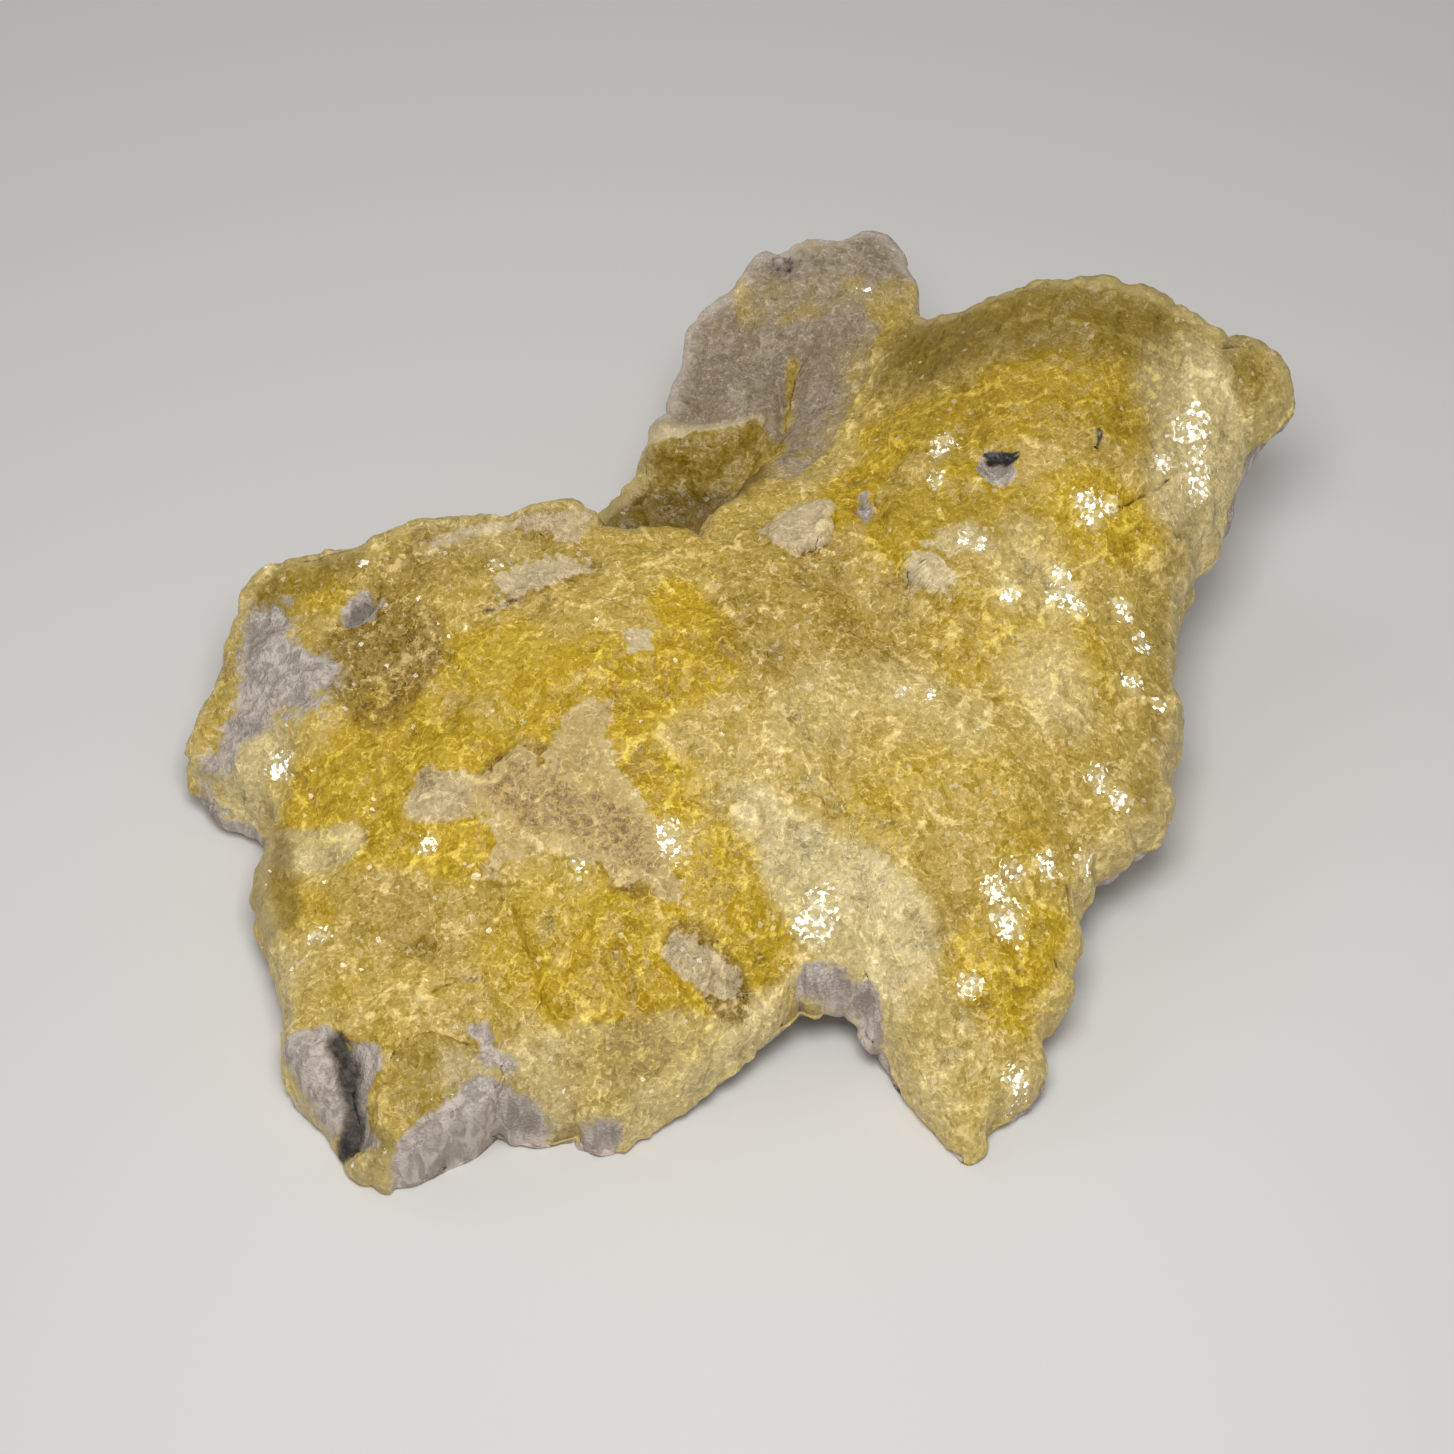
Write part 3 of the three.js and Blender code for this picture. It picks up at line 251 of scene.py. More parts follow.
# on the stub, and on the slab at the foot of the crest
STUB_SPOTS = [
    (-6.3, 14.8, 5.8), (-3.9, 13.9, 5.4), (-2.7, 15.7, 6.6), (0.9, 15.7, 7.4), (-2.7, 15.8, 9.9),
    (0.9, 16.8, 9.9), (-5.1, 15.7, 9.3), (-2.7, 19.7, 10.2), (-0.3, 22.5, 10.8), (1.5, 19, 10),
    (2.7, 22.1, 11.2), (3.3, 18.8, 10.2), (-1.8, 24, 11.8), (0.9, 25.2, 12.4), (3.3, 26.5, 13.2),
    (5.5, 27.2, 13.6), (7.6, 26.7, 13.8), (9.1, 25.4, 13.4), (5.7, 23.8, 12.9), (8.7, 23, 12.8),
    (5.7, 21.1, 12.2), (4.4, 16, 10.6), (6.9, 21.7, 12.4), (-8, 8.6, 5), (-5.2, 8.4, 4.6),
    (-2.6, 9.6, 4.8), (-7, 11.4, 5), (-3.6, 11.6, 4.8), (-0.8, 12.2, 5.6), (0.8, 13.8, 6.6),
]

# the crest where the crust breaks off, and points that close its line round behind the stub
CREST = [
    (-9.2, 5.1, 12.8), (-6.9, 5.4, 13), (-5.4, 5.7, 13.1), (-4.1, 6.1, 13.2), (-3.1, 5.9, 13.1),
    (-2.3, 5.4, 12.9), (-1.7, 6.7, 12.8), (-1.4, 8, 12.7), (-0.5, 8.9, 12.6), (-0.1, 10, 12.4),
    (1, 11, 12.1), (2.1, 12.9, 11.6), (3.6, 14.8, 10.9), (4.5, 16.8, 11), (5.9, 18.7, 11.6),
    (7.5, 21, 12.3), (9.6, 22.5, 12.9), (11.3, 21.5, 14.4),
]
BEHIND_THE_STUB = [
    (13.4, 23), (14.9, 37), (-17.1, 37), (-17.1, 11), (-10.6, 9.5),
]

# on the underside
UNDER_SPOTS = [
    (-18.1, -26, -0.8), (-22.1, -23.5, -0.6), (-12.1, -25.3, -0.6), (-9.1, -24.5, 0.2),
    (-21.1, -18, 0.6), (-25.1, -15, 1.4), (-15.1, -19, 0.6), (-7.1, -22, 0.8), (-23.1, -9, 2.4),
    (-28.1, -5, 2.8), (-25.1, 1, 4.2), (-17.1, 1, 4.8), (-11.1, 3, 4.6), (-13.1, -9, 3),
    (-7.1, -13, 3.4), (-1.1, -17, 3.2), (2.9, -15, 4.4), (-1.1, -7, 4.6), (2.9, -1, 5), (-4.1, 2, 4.4),
    (11.9, -25.3, -0.6), (11.9, -22, 0.4), (10.9, -18, 2.2), (15.9, -15, 2.2), (16.9, -10, 3),
    (20.9, -9, 2.6), (10.9, -9, 4.6), (18.9, -3, 4), (22.9, 1, 4.8), (12.9, 1, 5.4), (18.9, 7, 7),
    (24.9, 9, 7.6), (10.9, 9, 5.6), (14.9, 14, 7.4), (20.9, 15, 9.4), (26.9, 14, 9.8), (2.9, 23, -0.8),
    (4.9, 26.5, -0.6), (-1.1, 19, -0.4), (6.9, 21, 0.4), (-4.1, 15, -0.2), (0.9, 13.5, 0.6),
    (7.9, 16, 2.6), (4.9, 9, 3.6), (-1.1, 8, 3),
]
print(len(CRUST_SPOTS) + len(STUB_SPOTS) + len(UNDER_SPOTS), "spot heights")

# %% [markdown]
# ## Ledges, cracks and pits
# The crust grew in sheets, so here and there one sheet stops and leaves a small step. A step could be cut
# with a boolean, but a rise in the height along a line is lighter and stays one surface. Each ledge has its
# rise, how far the rise reaches in from its line, the line itself, and points beyond the line on the raised
# side, towards which it dies out. A closed ledge has no such points, and is raised all over. A groove has its
# depth, its width and its line, and a pit its place, its radius and its depth.

# %% Ledges, grooves and pits
ALL_OVER = None  # the reach of a closed ledge
THIN_CRUST = [
    (-17.8, -10.7), (-17.4, -9.7), (-16.5, -9.7), (-15.1, -10), (-13.4, -9.8), (-11.9, -9),
    (-10.8, -9.7), (-10.2, -8.6), (-9.2, -7.3), (-8.4, -6.7), (-7.7, -7.2), (-7.3, -8.6),
    (-6.8, -10.3), (-5.8, -11.6), (-5.2, -13), (-5, -14.4), (-4.1, -15.8), (-3.4, -16.8),
    (-3.1, -17.6), (-4, -17.5), (-5.2, -16.8), (-6.1, -16.7), (-6.8, -16.1), (-7.6, -15.2),
    (-9.5, -14.9), (-11.4, -15.1), (-13.1, -15.6), (-13.3, -14.1), (-13.5, -12.3), (-15, -11.9),
    (-16.7, -11.9), (-17.6, -11.6),
]
LEDGES = {
    "step in front of the middle of the left lobe": (0.8, 4, [
        (-13.5, -12.9), (-13, -15.2), (-12.2, -16.8), (-11.5, -19.1), (-10.7, -21), (-10.4, -22.5),
        (-9.6, -23.6), (-7.8, -24.3), (-5.4, -24.2), (-3.1, -23.8), (-1.8, -22.4),
    ], [(-3, -17), (-9, -12)]),
    "thin crust on the left lobe": (0.16, ALL_OVER, THIN_CRUST, []),
    "thick plate on the near side of the dome": (0.8, 3, [
        (9.7, 10.3), (8, 7.5), (8.3, 4.9), (8.7, 2.9), (9.8, 1.1), (11.1, 0), (12.8, -0.2), (14.4, 0.3),
    ], [(17.5, 3), (15, 10)]),
    "pale chip beside the strip": (0.5, ALL_OVER, [
        (0.9, 4.6), (1.2, 5.8), (2.5, 6.9), (3.8, 7.7), (5, 7.7), (5, 6.2), (4.5, 4.1), (3, 3.6),
        (2.1, 4.3),
    ], []),
    "rounded plate near the right edge": (0.5, 2.5, [
        (21.4, 6.4), (21.7, 5.1), (22.6, 4.3), (23.9, 4.3), (25.7, 5.4),
    ], [(26, 8.5), (22.5, 9)]),
    "pale plate over the broken front wall": (0.5, ALL_OVER, [
        (-18.4, -24.7), (-18.8, -26.2), (-19.5, -27.7), (-19, -28.6), (-18.1, -29), (-17.3, -29.1),
        (-15.9, -28.2), (-13.5, -27.3), (-12.7, -25.9), (-13.5, -24.8), (-16.3, -23.9), (-17.7, -24.1),
    ], []),
    "ledge across the foot of the stub": (1.3, 3, [
        (-6, 15.4), (-3.9, 15.4), (-2.4, 15.6), (0, 16.1), (1.5, 16.9), (2.7, 17.2),
    ], [(6, 20), (3, 25), (-6, 25), (-10, 19)]),
}
GROOVES = {
    "crack on the dome": (0.5, 0.25, [(21.5, 6.7), (22.7, 7.5), (23.6, 8.3), (24.6, 9.3)]),
    "crack on the left lobe": (0.35, 0.25, [(-14.9, -0.4), (-13.5, 0.1), (-12, 0.4)]),
    "crack on the low flat": (0.35, 0.25, [(-16.4, -21.5), (-15.7, -21), (-14, -20.8)]),
    "groove near the broken end": (0.8, 0.4, [(-22.4, 0.9), (-21.6, 1.5), (-21, 1.9), (-20.5, 2.3)]),
    "groove beside the stub": (0.9, 0.6, [(4.2, 21.9), (3.3, 20.4), (2.8, 18.7), (2.5, 17)]),
    "crevice in the corner rock": (1.8, 0.8, [(-21, -24.2), (-20.5, -26), (-20.1, -27.4), (-20.6, -28.3)]),
    "furrow down the middle": (0.35, 0.4, [(5.2, -9), (4.8, -11.4), (4.9, -13.7), (4.5, -15.5)]),
}
PITS = {
    "open pit on the dome": (14.6, 8.4, 0.9, 0.55),
    "small pit beside it": (20.1, 9.5, 0.35, 0.5),
    "pit in the furrow below the dome": (6.9, 7.1, 0.5, 0.4),
    "hollow on top of the stub": (2.7, 27.1, 0.8, 0.5),
}
print(len(LEDGES), "ledges,", len(GROOVES), "grooves,", len(PITS), "pits")

# %% [markdown]
# ## Distances in plan
# Everything that is drawn on the specimen, from a ledge to a stain, is a line or a patch seen from above. The
# two things needed are the distance to a line and whether a point is inside a patch. Both work on whole
# arrays of points at once and loop only over the few pieces of the line. Three short formulas turn distances
# into heights and shares.


# %% Distances in plan
TINY = 1e-12  # keeps a division by a length from being one by zero
SOFT_STEP = 0.4  # between the places on a line that a soft distance sums up
SOFTNESS = 0.05


def smooth_step(low, high, value):
    """0 below low, 1 above high, and 3 s^2 - 2 s^3 between, where s is the share of the way."""
    s = np.clip((value - low) / (high - low), 0, 1)
    return s * s * (3 - 2 * s)


def bell(value):
    """1 at zero, dying out on both sides: exp(-value^2)."""
    return np.exp(-(value ** 2))


def between(first, second, share):
    """The first value plus a share of the way to the second."""
    return first + share * (second - first)


def line_pieces(line, closed):
    """The two ends of each piece of a line, with a last piece back to the start of a closed one."""
    points = np.array(line, float)
    ends = np.roll(points, -1, axis=0)
    return zip(points, ends) if closed else zip(points[:-1], ends[:-1])


def nearest_on(xy, line, closed):
    """Distance to a line and its nearest point: the start of a piece plus a share t of the piece."""
    nearest, foot = np.full(len(xy), np.inf), xy.copy()
    for start, end in line_pieces(line, closed):
        piece = end - start
        t = np.clip((xy - start) @ piece / max(piece @ piece, TINY), 0, 1)
        place = start + t[:, None] * piece
        distance = np.hypot(*(xy - place).T)
        closer = distance < nearest
        nearest = np.where(closer, distance, nearest)
        foot = np.where(closer[:, None], place, foot)
    return nearest, foot


def line_distance(x, y, line, closed=False):
    """Distance to a line alone."""
    return nearest_on(np.column_stack([x, y]), line, closed)[0]


def soft_distance(x, y, line):
    """Much the same, but smooth inside the line's bends: (2 / pi * sum of step / d^4) ^ (-1 / 3)."""
    total = np.zeros(np.shape(x))
    for start, end in line_pieces(line, False):
        length = np.hypot(*(end - start))
        count = int(np.ceil(length / SOFT_STEP))
        for share in (np.arange(count) + 0.5) / count:
            px, py = start + share * (end - start)
            total += length / count / ((x - px) ** 2 + (y - py) ** 2 + SOFTNESS) ** 2
    return (2 / np.pi * total) ** (-1 / 3)


def is_inside(x, y, loop):
    """Inside where a ray to the right crosses the loop an odd number of times."""
    odd = np.zeros(np.shape(x), bool)
    for (ax, ay), (bx, by) in line_pieces(loop, True):
        if ay != by:
            crosses = ((ay > y) != (by > y)) & (x < (bx - ax) * (y - ay) / (by - ay) + ax)
            odd ^= crosses
    return odd


def signed_distance(x, y, line, beyond=()):
    """Distance to a line, positive inside the loop that it makes with the points beyond it."""
    distance = line_distance(x, y, line, not beyond)
    return np.where(is_inside(x, y, [*line, *beyond]), distance, -distance)


print("the middle is", line_distance(*MIDDLE, OUTLINE[:, :2], True)[0].round(1), "mm from the rim")

# %% [markdown]
# ## Heights
# A smooth ground through scattered spot heights could come from a subdivided triangle mesh, but its creases
# would follow the triangles. Here each point gets the plane that fits the spots around it best, nearer spots
# counting more. That gives slopes that run on naturally, with no creases.

# %% Heights of the crust, the stub and the underside
CRUST_REACH = 3.4  # distance over which a spot height counts
STUB_REACH = 2.4
LEVELNESS = 0.05  # how much a fitted plane is held level
FAR_WEIGHT = 1e-7  # what a far spot still weighs, so that no place is without any
LEAST_THICKNESS = 1.6
CHUNK = 20000  # points worked out at once, to save memory


def ground_height(x, y, spots, reach):
    """Height of the plane fitted to the spots, each of them weighing exp(-d^2 / 2 reach^2) / (d^2 + 1)."""
    heights = []
    for start in range(0, len(x), CHUNK):
        dx = spots[:, 0] - x[start:start + CHUNK, None]
        dy = spots[:, 1] - y[start:start + CHUNK, None]
        d2 = dx * dx + dy * dy
        weight = np.exp(-d2 / (2 * reach * reach)) / (d2 + 1) + FAR_WEIGHT / (1 + d2 * d2)
        terms = [np.ones_like(dx), dx, dy]
        fit = np.array([[(weight * a * b).sum(1) for b in terms] for a in terms])
        fit[1, 1] += LEVELNESS * fit[0, 0]
        fit[2, 2] += LEVELNESS * fit[0, 0]
        wanted = np.array([(weight * a * spots[:, 2]).sum(1) for a in terms])
        plane = np.linalg.solve(fit.transpose(2, 0, 1), wanted.T[..., None])
        heights.append(plane[:, 0, 0])
    return np.concatenate(heights)


STUB_SIDE_RIM = SLAB_RIM + STUB_LEDGE + STUB_RIM
CRUST_RIM = [row[:5] for row in OUTLINE.tolist() if tuple(row[:5]) not in set(STUB_SIDE_RIM)]
CRUST_HEIGHTS = np.array(CRUST_SPOTS + [row[:3] for row in CRUST_RIM] + CREST)
STUB_HEIGHTS = np.array(STUB_SPOTS + [row[:3] for row in STUB_SIDE_RIM])
STUB_LOOP = [row[:2] for row in CREST] + BEHIND_THE_STUB
CLIFF = (-0.6, 2.9)  # the drop from the crust to the stub, across its crest
LEDGE_STEP = (-0.16, 0.30)  # the rise of a ledge, across its line
TALL_LEDGE = 1.0  # above this rise a ledge slopes more gently, over TALL_STEP
TALL_STEP = (-0.36, 0.6)
DYING_OUT = 2  # distance over which an open ledge dies out towards the points beyond it


def top_height(x, y):
    """Crust in front of the crest and stub behind it, then the ledges, grooves and pits."""
    crust = ground_height(x, y, CRUST_HEIGHTS, CRUST_REACH)
    stub = ground_height(x, y, STUB_HEIGHTS, STUB_REACH)
    z = between(crust, stub, smooth_step(*CLIFF, signed_distance(x, y, STUB_LOOP)))
    for rise, reach, line, beyond in LEDGES.values():
        step = TALL_STEP if rise > TALL_LEDGE else LEDGE_STEP
        raised = rise * smooth_step(*step, signed_distance(x, y, line, beyond))
        if beyond:
            far_side = line_distance(x, y, [line[-1], *beyond, line[0]])
            raised = raised * bell(soft_distance(x, y, line) / reach) * smooth_step(0, DYING_OUT, far_side)
        z = z + raised
    for depth, width, line in GROOVES.values():
        z = z - depth * bell(line_distance(x, y, line) / width)
    for px, py, radius, depth in PITS.values():
        z = z - depth * bell(((x - px) ** 2 + (y - py) ** 2) / radius ** 2)
    return z


# %% [markdown]
# ## Relief from cells of space
# The crust is a felt of small, overlapping discs with scalloped edges, and the base is broken rock. Sculpting
# them by hand would take days, and a Displace modifier has no such pattern. So space is divided into cells,
# each cell gets a few pseudo-random numbers from its own whole-number place, and every point looks at the
# cells around it. The same numbers come out on every run.


# %% Numbers for the cells of space
NEIGHBOURS = np.array(np.meshgrid([-1, 0, 1], [-1, 0, 1], [-1, 0, 1])).reshape(3, -1).T
CORNERS = np.array(np.meshgrid([0, 1], [0, 1], [0, 1])).reshape(3, -1).T


def cell_number(cell, seed):
    """A number from 0 to 1 for each cell: its place times large odd numbers, then mixed bit by bit."""
    x, y, z = cell.astype(np.int64).astype(np.uint32).T
    mixed = x * np.uint32(0x8DA6B343) ^ y * np.uint32(0xD8163841) ^ z * np.uint32(0xCB1AB31F)
    mixed ^= np.uint32((seed * 0x165667B1) & 0xFFFFFFFF)
    for shift, factor in ((13, 0x5BD1E995), (15, 0x2C1B3C6D)):
        mixed ^= mixed >> np.uint32(shift)
        mixed *= np.uint32(factor)
    mixed ^= mixed >> np.uint32(12)
    return mixed / 2.0 ** 32


def lump_field(points, pitch, seed):
    """Overlapping domes, one in each cell: the highest of 0.7 h - d^2, d cells from the dome's middle."""
    at = points / pitch
    highest = np.full(len(points), -np.inf)
    for step in NEIGHBOURS:
        cell = np.floor(at) + step
        centre = cell + np.column_stack([cell_number(cell, seed + k) for k in range(3)])
        dome = 0.7 * cell_number(cell, seed + 3)
        highest = np.maximum(highest, dome - ((at - centre) ** 2).sum(1))
    return highest


def cloud_field(points, pitch, seed):
    """Soft clouds from -1 to 1: each cell's corners have a number, blended by the smooth step."""
    at = points / pitch
    low = np.floor(at)
    share = smooth_step(0, 1, at - low)
    total = np.zeros(len(points))
    for corner in CORNERS:
        weight = np.where(corner, share, 1 - share).prod(1)
        total += weight * (2 * cell_number(low + corner, seed) - 1)
    return total


def rough_field(points, pitch, octaves, seed):
    """Clouds on clouds: each layer has half the pitch and 0.55 of the height of the one before."""
    layers = [0.55 ** k * cloud_field(points, pitch / 2 ** k, seed + 7 * k) for k in range(octaves)]
    return sum(layers)


print("cells checked:", round(float(cell_number(np.array([[3, -2, 5]]), 1)[0]), 4))

# %% [markdown]
# ## Stations round the rim
# The rim's rows are joined by a smooth curve and cut into many stations. The steps between stations share out
# both the curve's length and the angle it turns about the middle, so that no stretch is sampled too thinly.
# The thin edge of the crust ends in rounded lobes of one to two millimetres. The same overlapping domes, with
# sharp dips between them, push the stations out and in.

# %% Stations round the rim
SECTORS = 8
TOP_RINGS = 116  # ring k of the top has SECTORS * k points
UNDER_RINGS = TOP_RINGS // 2
STATIONS = SECTORS * TOP_RINGS
SPLINE_STEPS = 10
LENGTH_SHARE = 0.6
LEAST_TURN = 0.002  # radians about the middle between two stations; less would fold the rings there
RIM_WIDTH = 0.9  # how far the crest of the rim lies inside its edge
TUCK_SLOPE = 0.85  # how far the foot lies inside the edge, for each millimetre below it
LEAST_TUCK, MOST_TUCK = 0.3, 3.2
SCALLOPS = [(2.1, 0.45, 3), (0.95, 0.3, 4)]  # pitch, depth and seed of each size of lobe
MEAN_DIP = 0.05  # the domes' mean height is this far below zero
TURNING_ROUNDS = 100


def closed_spline(points, steps):
    """A Catmull-Rom curve: a cubic for each span, with end slopes from the row before to the row after."""
    t = (np.arange(steps) / steps)[:, None, None]
    p0, p1, p2, p3 = [np.roll(points, shift, axis=0) for shift in (1, 0, -1, -2)]
    bend = 2 * p0 - 5 * p1 + 4 * p2 - p3
    twist = 3 * p1 - p0 - 3 * p2 + p3
    curve = p1 + 0.5 * ((p2 - p0) * t + bend * t ** 2 + twist * t ** 3)
    return curve.transpose(1, 0, 2).reshape(-1, points.shape[1])


def with_reach(rows):
    """Adds to each row how far out the crest and the foot lie, as shares of the way from the middle."""
    reach = np.hypot(*(rows[:, :2] - MIDDLE).T)
    tuck = np.clip(TUCK_SLOPE * (rows[:, 3] - rows[:, 4]), LEAST_TUCK, MOST_TUCK)
    return np.column_stack([rows, 1 - RIM_WIDTH / reach, 1 - tuck / reach])


def scalloped(rows):
    """Moves each row straight out from the middle by the height of the domes there, times its share."""
    place = np.column_stack([rows[:, :2], np.zeros(len(rows))])
    push = sum(depth * (lump_field(place, pitch, seed) + MEAN_DIP) for pitch, depth, seed in SCALLOPS)
    away = rows[:, :2] - MIDDLE
    outer = rows[:, :2] + (rows[:, 5] * push / np.hypot(*away.T))[:, None] * away
    return np.column_stack([outer, rows[:, 2:]])


def unfolded(rows):
    """Turns rows that lie too close in angle, or in the wrong order, apart about the middle, bit by bit."""
    away = rows[:, :2] - MIDDLE
    angle = np.unwrap(-np.arctan2(away[:, 1], away[:, 0]))
    for _ in range(TURNING_ROUNDS):
        turn = np.append(angle[1:], angle[0] + 2 * np.pi) - angle
        lack = np.maximum(LEAST_TURN - turn, 0) / 2
        angle = angle - lack + np.roll(lack, 1)
    outer = MIDDLE + np.hypot(*away.T)[:, None] * np.column_stack([np.cos(angle), -np.sin(angle)])
    return np.column_stack([outer, rows[:, 2:]])


def rim_stations(count):
    """The rim's curve cut into steps that share out its length and its turn, with the reach columns added."""
    curve = closed_spline(OUTLINE, SPLINE_STEPS)
    curve = np.vstack([curve, curve[:1]])
    away = curve[:, :2] - MIDDLE
    angle = np.diff(np.arctan2(away[:, 1], away[:, 0]))
    clockwise = -np.arctan2(np.sin(angle), np.cos(angle))
    run = np.r_[0, np.cumsum(np.hypot(*np.diff(away, axis=0).T))]
    turn = np.r_[0, np.cumsum(np.maximum(clockwise, 0))]
    share = LENGTH_SHARE * run / run[-1] + (1 - LENGTH_SHARE) * turn / turn[-1]
    even = np.stack([np.interp(np.arange(count) / count, share, column) for column in curve.T], axis=1)
    return with_reach(scalloped(unfolded(even)))


stations = rim_stations(STATIONS)
CREST_AT, FOOT_AT = 6, 7  # the columns of the two shares
gaps = np.hypot(*np.diff(stations[:, :2], axis=0).T)
print(len(stations), "stations,", round(float(gaps.mean()), 2), "mm apart")

# %% [markdown]
# ## The surface as rings
# A grid laid over the plan would have to be trimmed at the ragged rim. Rings avoid that: ring k lies a share
# k / rings of the way from the middle to the rim and has 8 k points, so its triangles are about the same size
# everywhere. The rings of the top lead over the rounded rim and back in under the base, and close at its
# middle, so the surface has no hole and no seam.


# %% Rings and their faces
def disc_ring(ring, rings, reach_column):
    """Points of one ring: the middle plus ring / rings of the way to the rim, in even steps round it."""
    index = np.arange(SECTORS * ring) * STATIONS / (SECTORS * ring)
    low = np.floor(index).astype(int)
    t = (index - low)[:, None]
    row = between(stations[low], stations[(low + 1) % STATIONS], t)
    return MIDDLE + ring / rings * row[:, reach_column, None] * (row[:, :2] - MIDDLE)


def ring_faces(outer, inner):
    """Triangles between two neighbouring rings: one on each step of the outer, one on each of the inner."""
    ring = len(outer) // SECTORS
    sector, t = np.divmod(np.arange(len(outer)), ring)
    a, b = outer, np.roll(outer, -1)
    c = inner[(sector * (ring - 1) + t) % len(inner)]
    d = inner[(sector * (ring - 1) + t + 1) % len(inner)]
    return np.column_stack([a, b, c]), np.column_stack([b, d, c])[t < ring - 1]


def band_faces(upper, lower):
    """Two triangles between each two stations of two rows of the rim."""
    next_upper, next_lower = np.roll(upper, -1), np.roll(lower, -1)
    return np.column_stack([upper, next_lower, lower]), np.column_stack([upper, next_upper, next_lower])


# %% [markdown]
# ## Sharp ledges from an even mesh
# Most ledges are steps only half a millimetre wide, about two of the mesh's own triangles, so an even mesh
# would turn them into rows of saw teeth. Moving the nearby points closer to the ledge's line before their
# height is worked out puts more rows of points in the step, and costs no extra triangles.

# %% Points drawn to the ledges
DRAW_REACH = 0.8
DRAW_POWER = 1.35
LEAST_SHARE = 1e-3
LOW_LEDGE = 0.3  # a ledge no higher than this needs no points drawn to it


def drawn_to(xy, line, closed, hold):
    """Moves points nearer than the reach D to D (d / D)^power from the line; hold, 0 to 1, weakens it."""
    nearest, foot = nearest_on(xy, line, closed)
    share = np.clip(nearest / DRAW_REACH, LEAST_SHARE, 1) ** (DRAW_POWER - 1)
    keep = 1 - (1 - share) * hold
    return foot + (xy - foot) * keep[:, None]


# %% The closed surface
SHOULDER_ROWS = 5  # rows of the rim from its crest out to its edge
TUCK_ROWS = 24  # rows from the edge in to the foot
LEAST_RISE = 0.1  # from the edge of the rim to its crest


def toward(rows, share, height):
    """Points at a share of the way from the middle to each row's place, with the given heights."""
    return np.column_stack([MIDDLE + share[:, None] * (rows[:, :2] - MIDDLE), height])


def quarter_turn(steps):
    """Angles from 0 to a right angle, without the first."""
    return np.linspace(0, np.pi / 2, steps + 1)[1:]


top_rings = [MIDDLE[None]] + [disc_ring(k, TOP_RINGS, CREST_AT) for k in range(1, TOP_RINGS + 1)]
top_xy = np.vstack(top_rings)
ring_of = np.repeat(np.arange(TOP_RINGS + 1), [len(ring) for ring in top_rings])
inward = smooth_step(1.0, 0.97, ring_of / TOP_RINGS)
for rise, _, line, beyond in LEDGES.values():
    if rise > LOW_LEDGE:
        top_xy = drawn_to(top_xy, line, not beyond, inward)
top_points = np.column_stack([top_xy, top_height(*top_xy.T)])
print(len(top_points), "points on the top")

edge_z, foot_z, crest_share, foot_share = stations[:, 3], stations[:, 4], *stations[:, [CREST_AT, FOOT_AT]].T
rise_z = np.maximum(top_points[-STATIONS:, 2] - edge_z, LEAST_RISE)
rows, side_share = [top_points], [np.zeros(len(top_points))]
for angle in quarter_turn(SHOULDER_ROWS):
    rows.append(toward(stations, between(crest_share, 1, np.sin(angle)), edge_z + rise_z * np.cos(angle)))
    side_share.append(np.zeros(STATIONS))
for angle in quarter_turn(TUCK_ROWS):
    height = between(edge_z, foot_z, np.sin(angle))
    rows.append(toward(stations, between(foot_share, 1, np.cos(angle)), height))
    side_share.append(np.full(STATIONS, np.sin(angle)))

feet = with_reach(OUTLINE)
foot_spots = toward(feet, feet[:, FOOT_AT], feet[:, 4])
under_rings = [disc_ring(k, UNDER_RINGS, FOOT_AT) for k in range(UNDER_RINGS - 1, 0, -1)] + [MIDDLE[None]]
under_xy = np.vstack(under_rings)
under_z = ground_height(*under_xy.T, np.vstack([UNDER_SPOTS, foot_spots]), CRUST_REACH)
under_z = np.maximum(np.minimum(under_z, top_height(*under_xy.T) - LEAST_THICKNESS), 0)
rows.append(np.column_stack([under_xy, under_z]))
side_share.append(np.ones(len(under_xy)))
base_points = np.vstack(rows)
side_share = np.concatenate(side_share)
print(len(base_points), "points in all")

# %% The faces
faces = []
first = 1
inner = np.array([0])
for ring in range(1, TOP_RINGS + 1):
    outer = first + np.arange(SECTORS * ring)
    faces += [block[:, [1, 0, 2]] for block in ring_faces(outer, inner)]
    first, inner = first + len(outer), outer
upper = inner
for row in range(SHOULDER_ROWS + TUCK_ROWS):
    lower = first + np.arange(STATIONS)
    faces += band_faces(upper, lower)
    first, upper = first + STATIONS, lower
# the foot row is the underside's outermost ring, with one more point between each two of that ring
outer = upper[::2]
for ring in range(UNDER_RINGS - 1, -1, -1):
    inner = first + np.arange(max(SECTORS * ring, 1))
    on_outer, on_inner = ring_faces(outer, inner)
    if ring == UNDER_RINGS - 1:
        added = upper[1::2]
        on_outer = np.vstack([
            np.column_stack([on_outer[:, 0], added, on_outer[:, 2]]),
            np.column_stack([added, on_outer[:, 1], on_outer[:, 2]]),
        ])
    faces += [on_outer, on_inner]
    first, outer = first + len(inner), inner
faces = np.vstack(faces)
print(len(faces), "triangles")

# %% [markdown]
# ## Plates
# A plate is a flat, leaning disc with a crisp edge. The discs of the crust overlap like scales, so at each
# point the highest one counts. Relief is pushed out along the surface's own normals, worked out here too.


# %% Plates and normals
PLATE_RADII = (0.42, 0.82)  # least and most, in cells
PLATE_HEIGHTS = (0.35, 1)
RIM_BREADTH = 0.07
LEAN = 0.5


